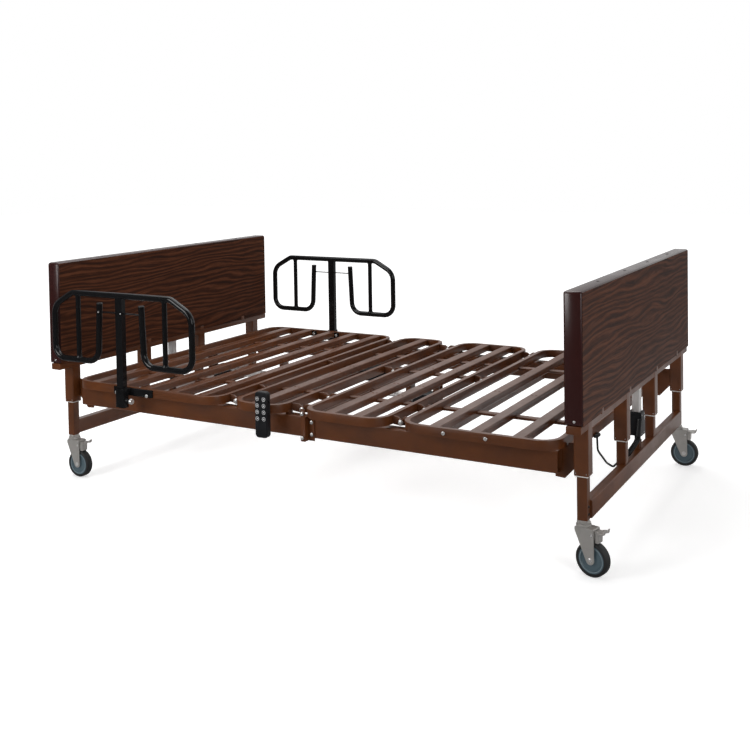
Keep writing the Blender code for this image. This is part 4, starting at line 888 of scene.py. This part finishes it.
def pin_hole(bm, place):
    """Blind hole for the pull pin in the post's narrow side."""
    local = place.inverted()
    sides = [f for f in bm.faces if abs((local @ f.calc_center_median()).x - POST_HALF) < 0.0001]
    side = max(sides, key=lambda f: f.calc_area())
    corners = sorted(side.verts, key=lambda v: v.co.z)
    below, above = (sorted(pair, key=lambda v: (local @ v.co).y) for pair in (corners[:2], corners[2:]))
    bmesh.ops.delete(bm, geom=[side], context="FACES_ONLY")
    ring = arc((0.0, PIN_Z), 0.0044, 0.0, 337.5, 15)
    mouth, bottom = ([bm.verts.new(place @ Vector((depth, y, z))) for y, z in ring]
                     for depth in (POST_HALF, 0.0075))
    bm.faces.new([below[0], below[1], mouth[0]] + mouth[:7:-1])
    bm.faces.new([below[1], above[1], above[0], below[0]] + mouth[8:0:-1] + [mouth[0]])
    for k in range(16):
        bm.faces.new((mouth[k - 1], mouth[k], bottom[k], bottom[k - 1]))
    bm.faces.new(bottom)


RAIL_Y = 0.700
GAP_X, STRUT_X = 0.103, 0.213
LOWER_Z, UPPER_Z, LINK_Z = 0.495, 0.750, 0.685
POST_FOOT, POST_TOP = 0.336, 0.746
BEND_R, STRUT_R, LINK_R = 0.0115, 0.0095, 0.0025
half = [((-GAP_X, 0, 0.716), 0), ((-0.113, 0, LOWER_Z), 0.050), ((-0.337, 0, LOWER_Z), 0.050),
        ((-0.337, 0, 0.697), 0.060), ((-0.242, 0, UPPER_Z), 0.040)]
whole = half + [((-spot[0], 0, spot[2]), radius) for spot, radius in reversed(half)]
for name, x, side in (("near", -0.687, -1), ("far", -0.630, 1)):
    place = Matrix.Translation((x - MIDDLE, side * RAIL_Y, 0.0))
    place = place @ Matrix.Rotation(0.0 if side < 0 else math.pi, 4, "Z")
    bm = bmesh.new()
    tube(bm, rounded(whole, 10), BEND_R, 20, place, caps=False)
    post = [(-POST_HALF, POST_FOOT), (POST_HALF, POST_FOOT), (POST_HALF, POST_TOP), (-POST_HALF, POST_TOP)]
    plate(bm, post, -0.010, 0.010, place)
    round_off(bm, 0.0018, 3, 68.75, 0.5)
    pin_hole(bm, place)
    for u in (-STRUT_X, STRUT_X):
        tube(bm, [Vector((u, 0, 0.4965)), Vector((u, 0, 0.7485))], STRUT_R, 20, place)
        for z, way in ((LOWER_Z, 1), (UPPER_Z, -1)):
            ring = [(STRUT_R, z + way * 0.0160), (0.0106, z + way * 0.0130), (0.0122, z + way * 0.0104),
                    (0.0122, z + way * 0.0050), (0.0090, z + way * 0.0040)]
            turned(bm, ring, 24, place @ Matrix.Translation((u, 0, 0)))
    tube(bm, [Vector((-GAP_X, 0, LINK_Z)), Vector((GAP_X, 0, LINK_Z))], LINK_R, 10, place)
    for u in (-GAP_X, GAP_X):
        turned(bm, [(0.0100, 0.7130), (0.0117, 0.7150), (0.0117, 0.7172), (0.0100, 0.7186)], 24,
               place @ Matrix.Translation((u, 0, 0)), 1)
    keep(name + "_rail_bend", bm, [GLOSS, PLUG], name + "_rail", [name + "_assist_rail"], 32.0)
    outwards = place.to_3x3() @ Vector((0, -1, 0))
    spots = [(place @ Vector((u, -d, LINK_Z)), outwards) for u, d in ((-0.099, 0.0112), (0.010, 0.0100))]
    heads(name + "_link_rivets", pan_head(0.0030, 0.0016, 0.3), spots, SCREW_STEEL, name + "_rail",
          31)
    keep(name + "_clamp_weldment", dressed(name + "_rail_clamp", 0.0007), GLOSS, "back",
         [name + "_rail_clamp"])
    spots = [((u - MIDDLE, side * 0.6800, 0.3815), (0, side, 0)) for u in (-0.735, -0.587)]
    spots += [((u - MIDDLE, side * 0.6450, 0.3885), (0, -side, 0)) for u in (-0.707, -0.580)]
    heads(name + "_clamp_bolts", hex_head(0.0062, 0.0022), spots, SCREW_STEEL, "back", 37)
    bm = bmesh.new()
    along = place @ Matrix.Translation((0, 0, PIN_Z)) @ Matrix.Rotation(math.radians(90), 4, "Y")
    knob = 0.0398
    turned(bm, [(0.0030, 0.0166), (0.0039, 0.0176), (0.0039, knob), (0.0096, knob), (0.0104, knob + 0.0010),
                (0.0104, knob + 0.0082), (0.0096, knob + 0.0098), (0.0066, knob + 0.0102),
                (0.0060, knob + 0.0088)], 36, along)
    keep(name + "_pull_knob", bm, SCREW_STEEL, name + "_pin", [name + "_rail_pin"], 30.0)


# Hand control
# Two-part black plastic case hooked over the deck's edge tube, with eight soft rubber keys in two
# columns. Each key carries a pale printed ring and a plain arrow.

KEY = finish_with("key_rubber", (0.030, 0.030, 0.033), (0.040, 0.040, 0.043), (0.45, 0.58))
PRINT = finish_with("pale_print", (0.74, 0.74, 0.75), (0.66, 0.66, 0.67), (0.4, 0.5))
keep("hand_control_case", dressed("hand_control_body", 0.0016, 3, 25.0), HOUSING, "hand_control",
     ["hand_control_body"])
CASE_X, CASE_FRONT = -0.055, -0.7025
KEYS = [(x, z) for z in (0.432, 0.4095, 0.387, 0.3645) for x in (-0.0135, 0.0135)]
for number, (x, z) in enumerate(KEYS, 1):
    stand = Matrix.Translation((CASE_X + x - MIDDLE, CASE_FRONT, z))
    stand = stand @ Matrix.Rotation(math.radians(90), 4, "X")
    bm = bmesh.new()
    turned(bm, [(0.0074, -0.0049), (0.0074, 0.0008), (0.0066, 0.0014), (0.0030, 0.0011)], 28, stand)
    ring = [(0.0070, 0.00090), (0.0069, 0.00146), (0.0058, 0.00148), (0.0057, 0.00100)]
    turned(bm, ring, 28, stand, 1, closed=True)
    way = -1 if x < 0 else 1
    arrow = [(-0.0032, -0.0018 * way), (0.0032, -0.0018 * way), (0.0, 0.0034 * way)]
    plate(bm, arrow, 0.0010, 0.0014, stand, 1, axis=2)
    node = "hand_control_button_" + str(number)
    keep("key_" + str(number), bm, [KEY, PRINT], "button_" + str(number), [node], 35.0)


# Box round every shown piece of the bed, the floor and lamps left out.

low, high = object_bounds()
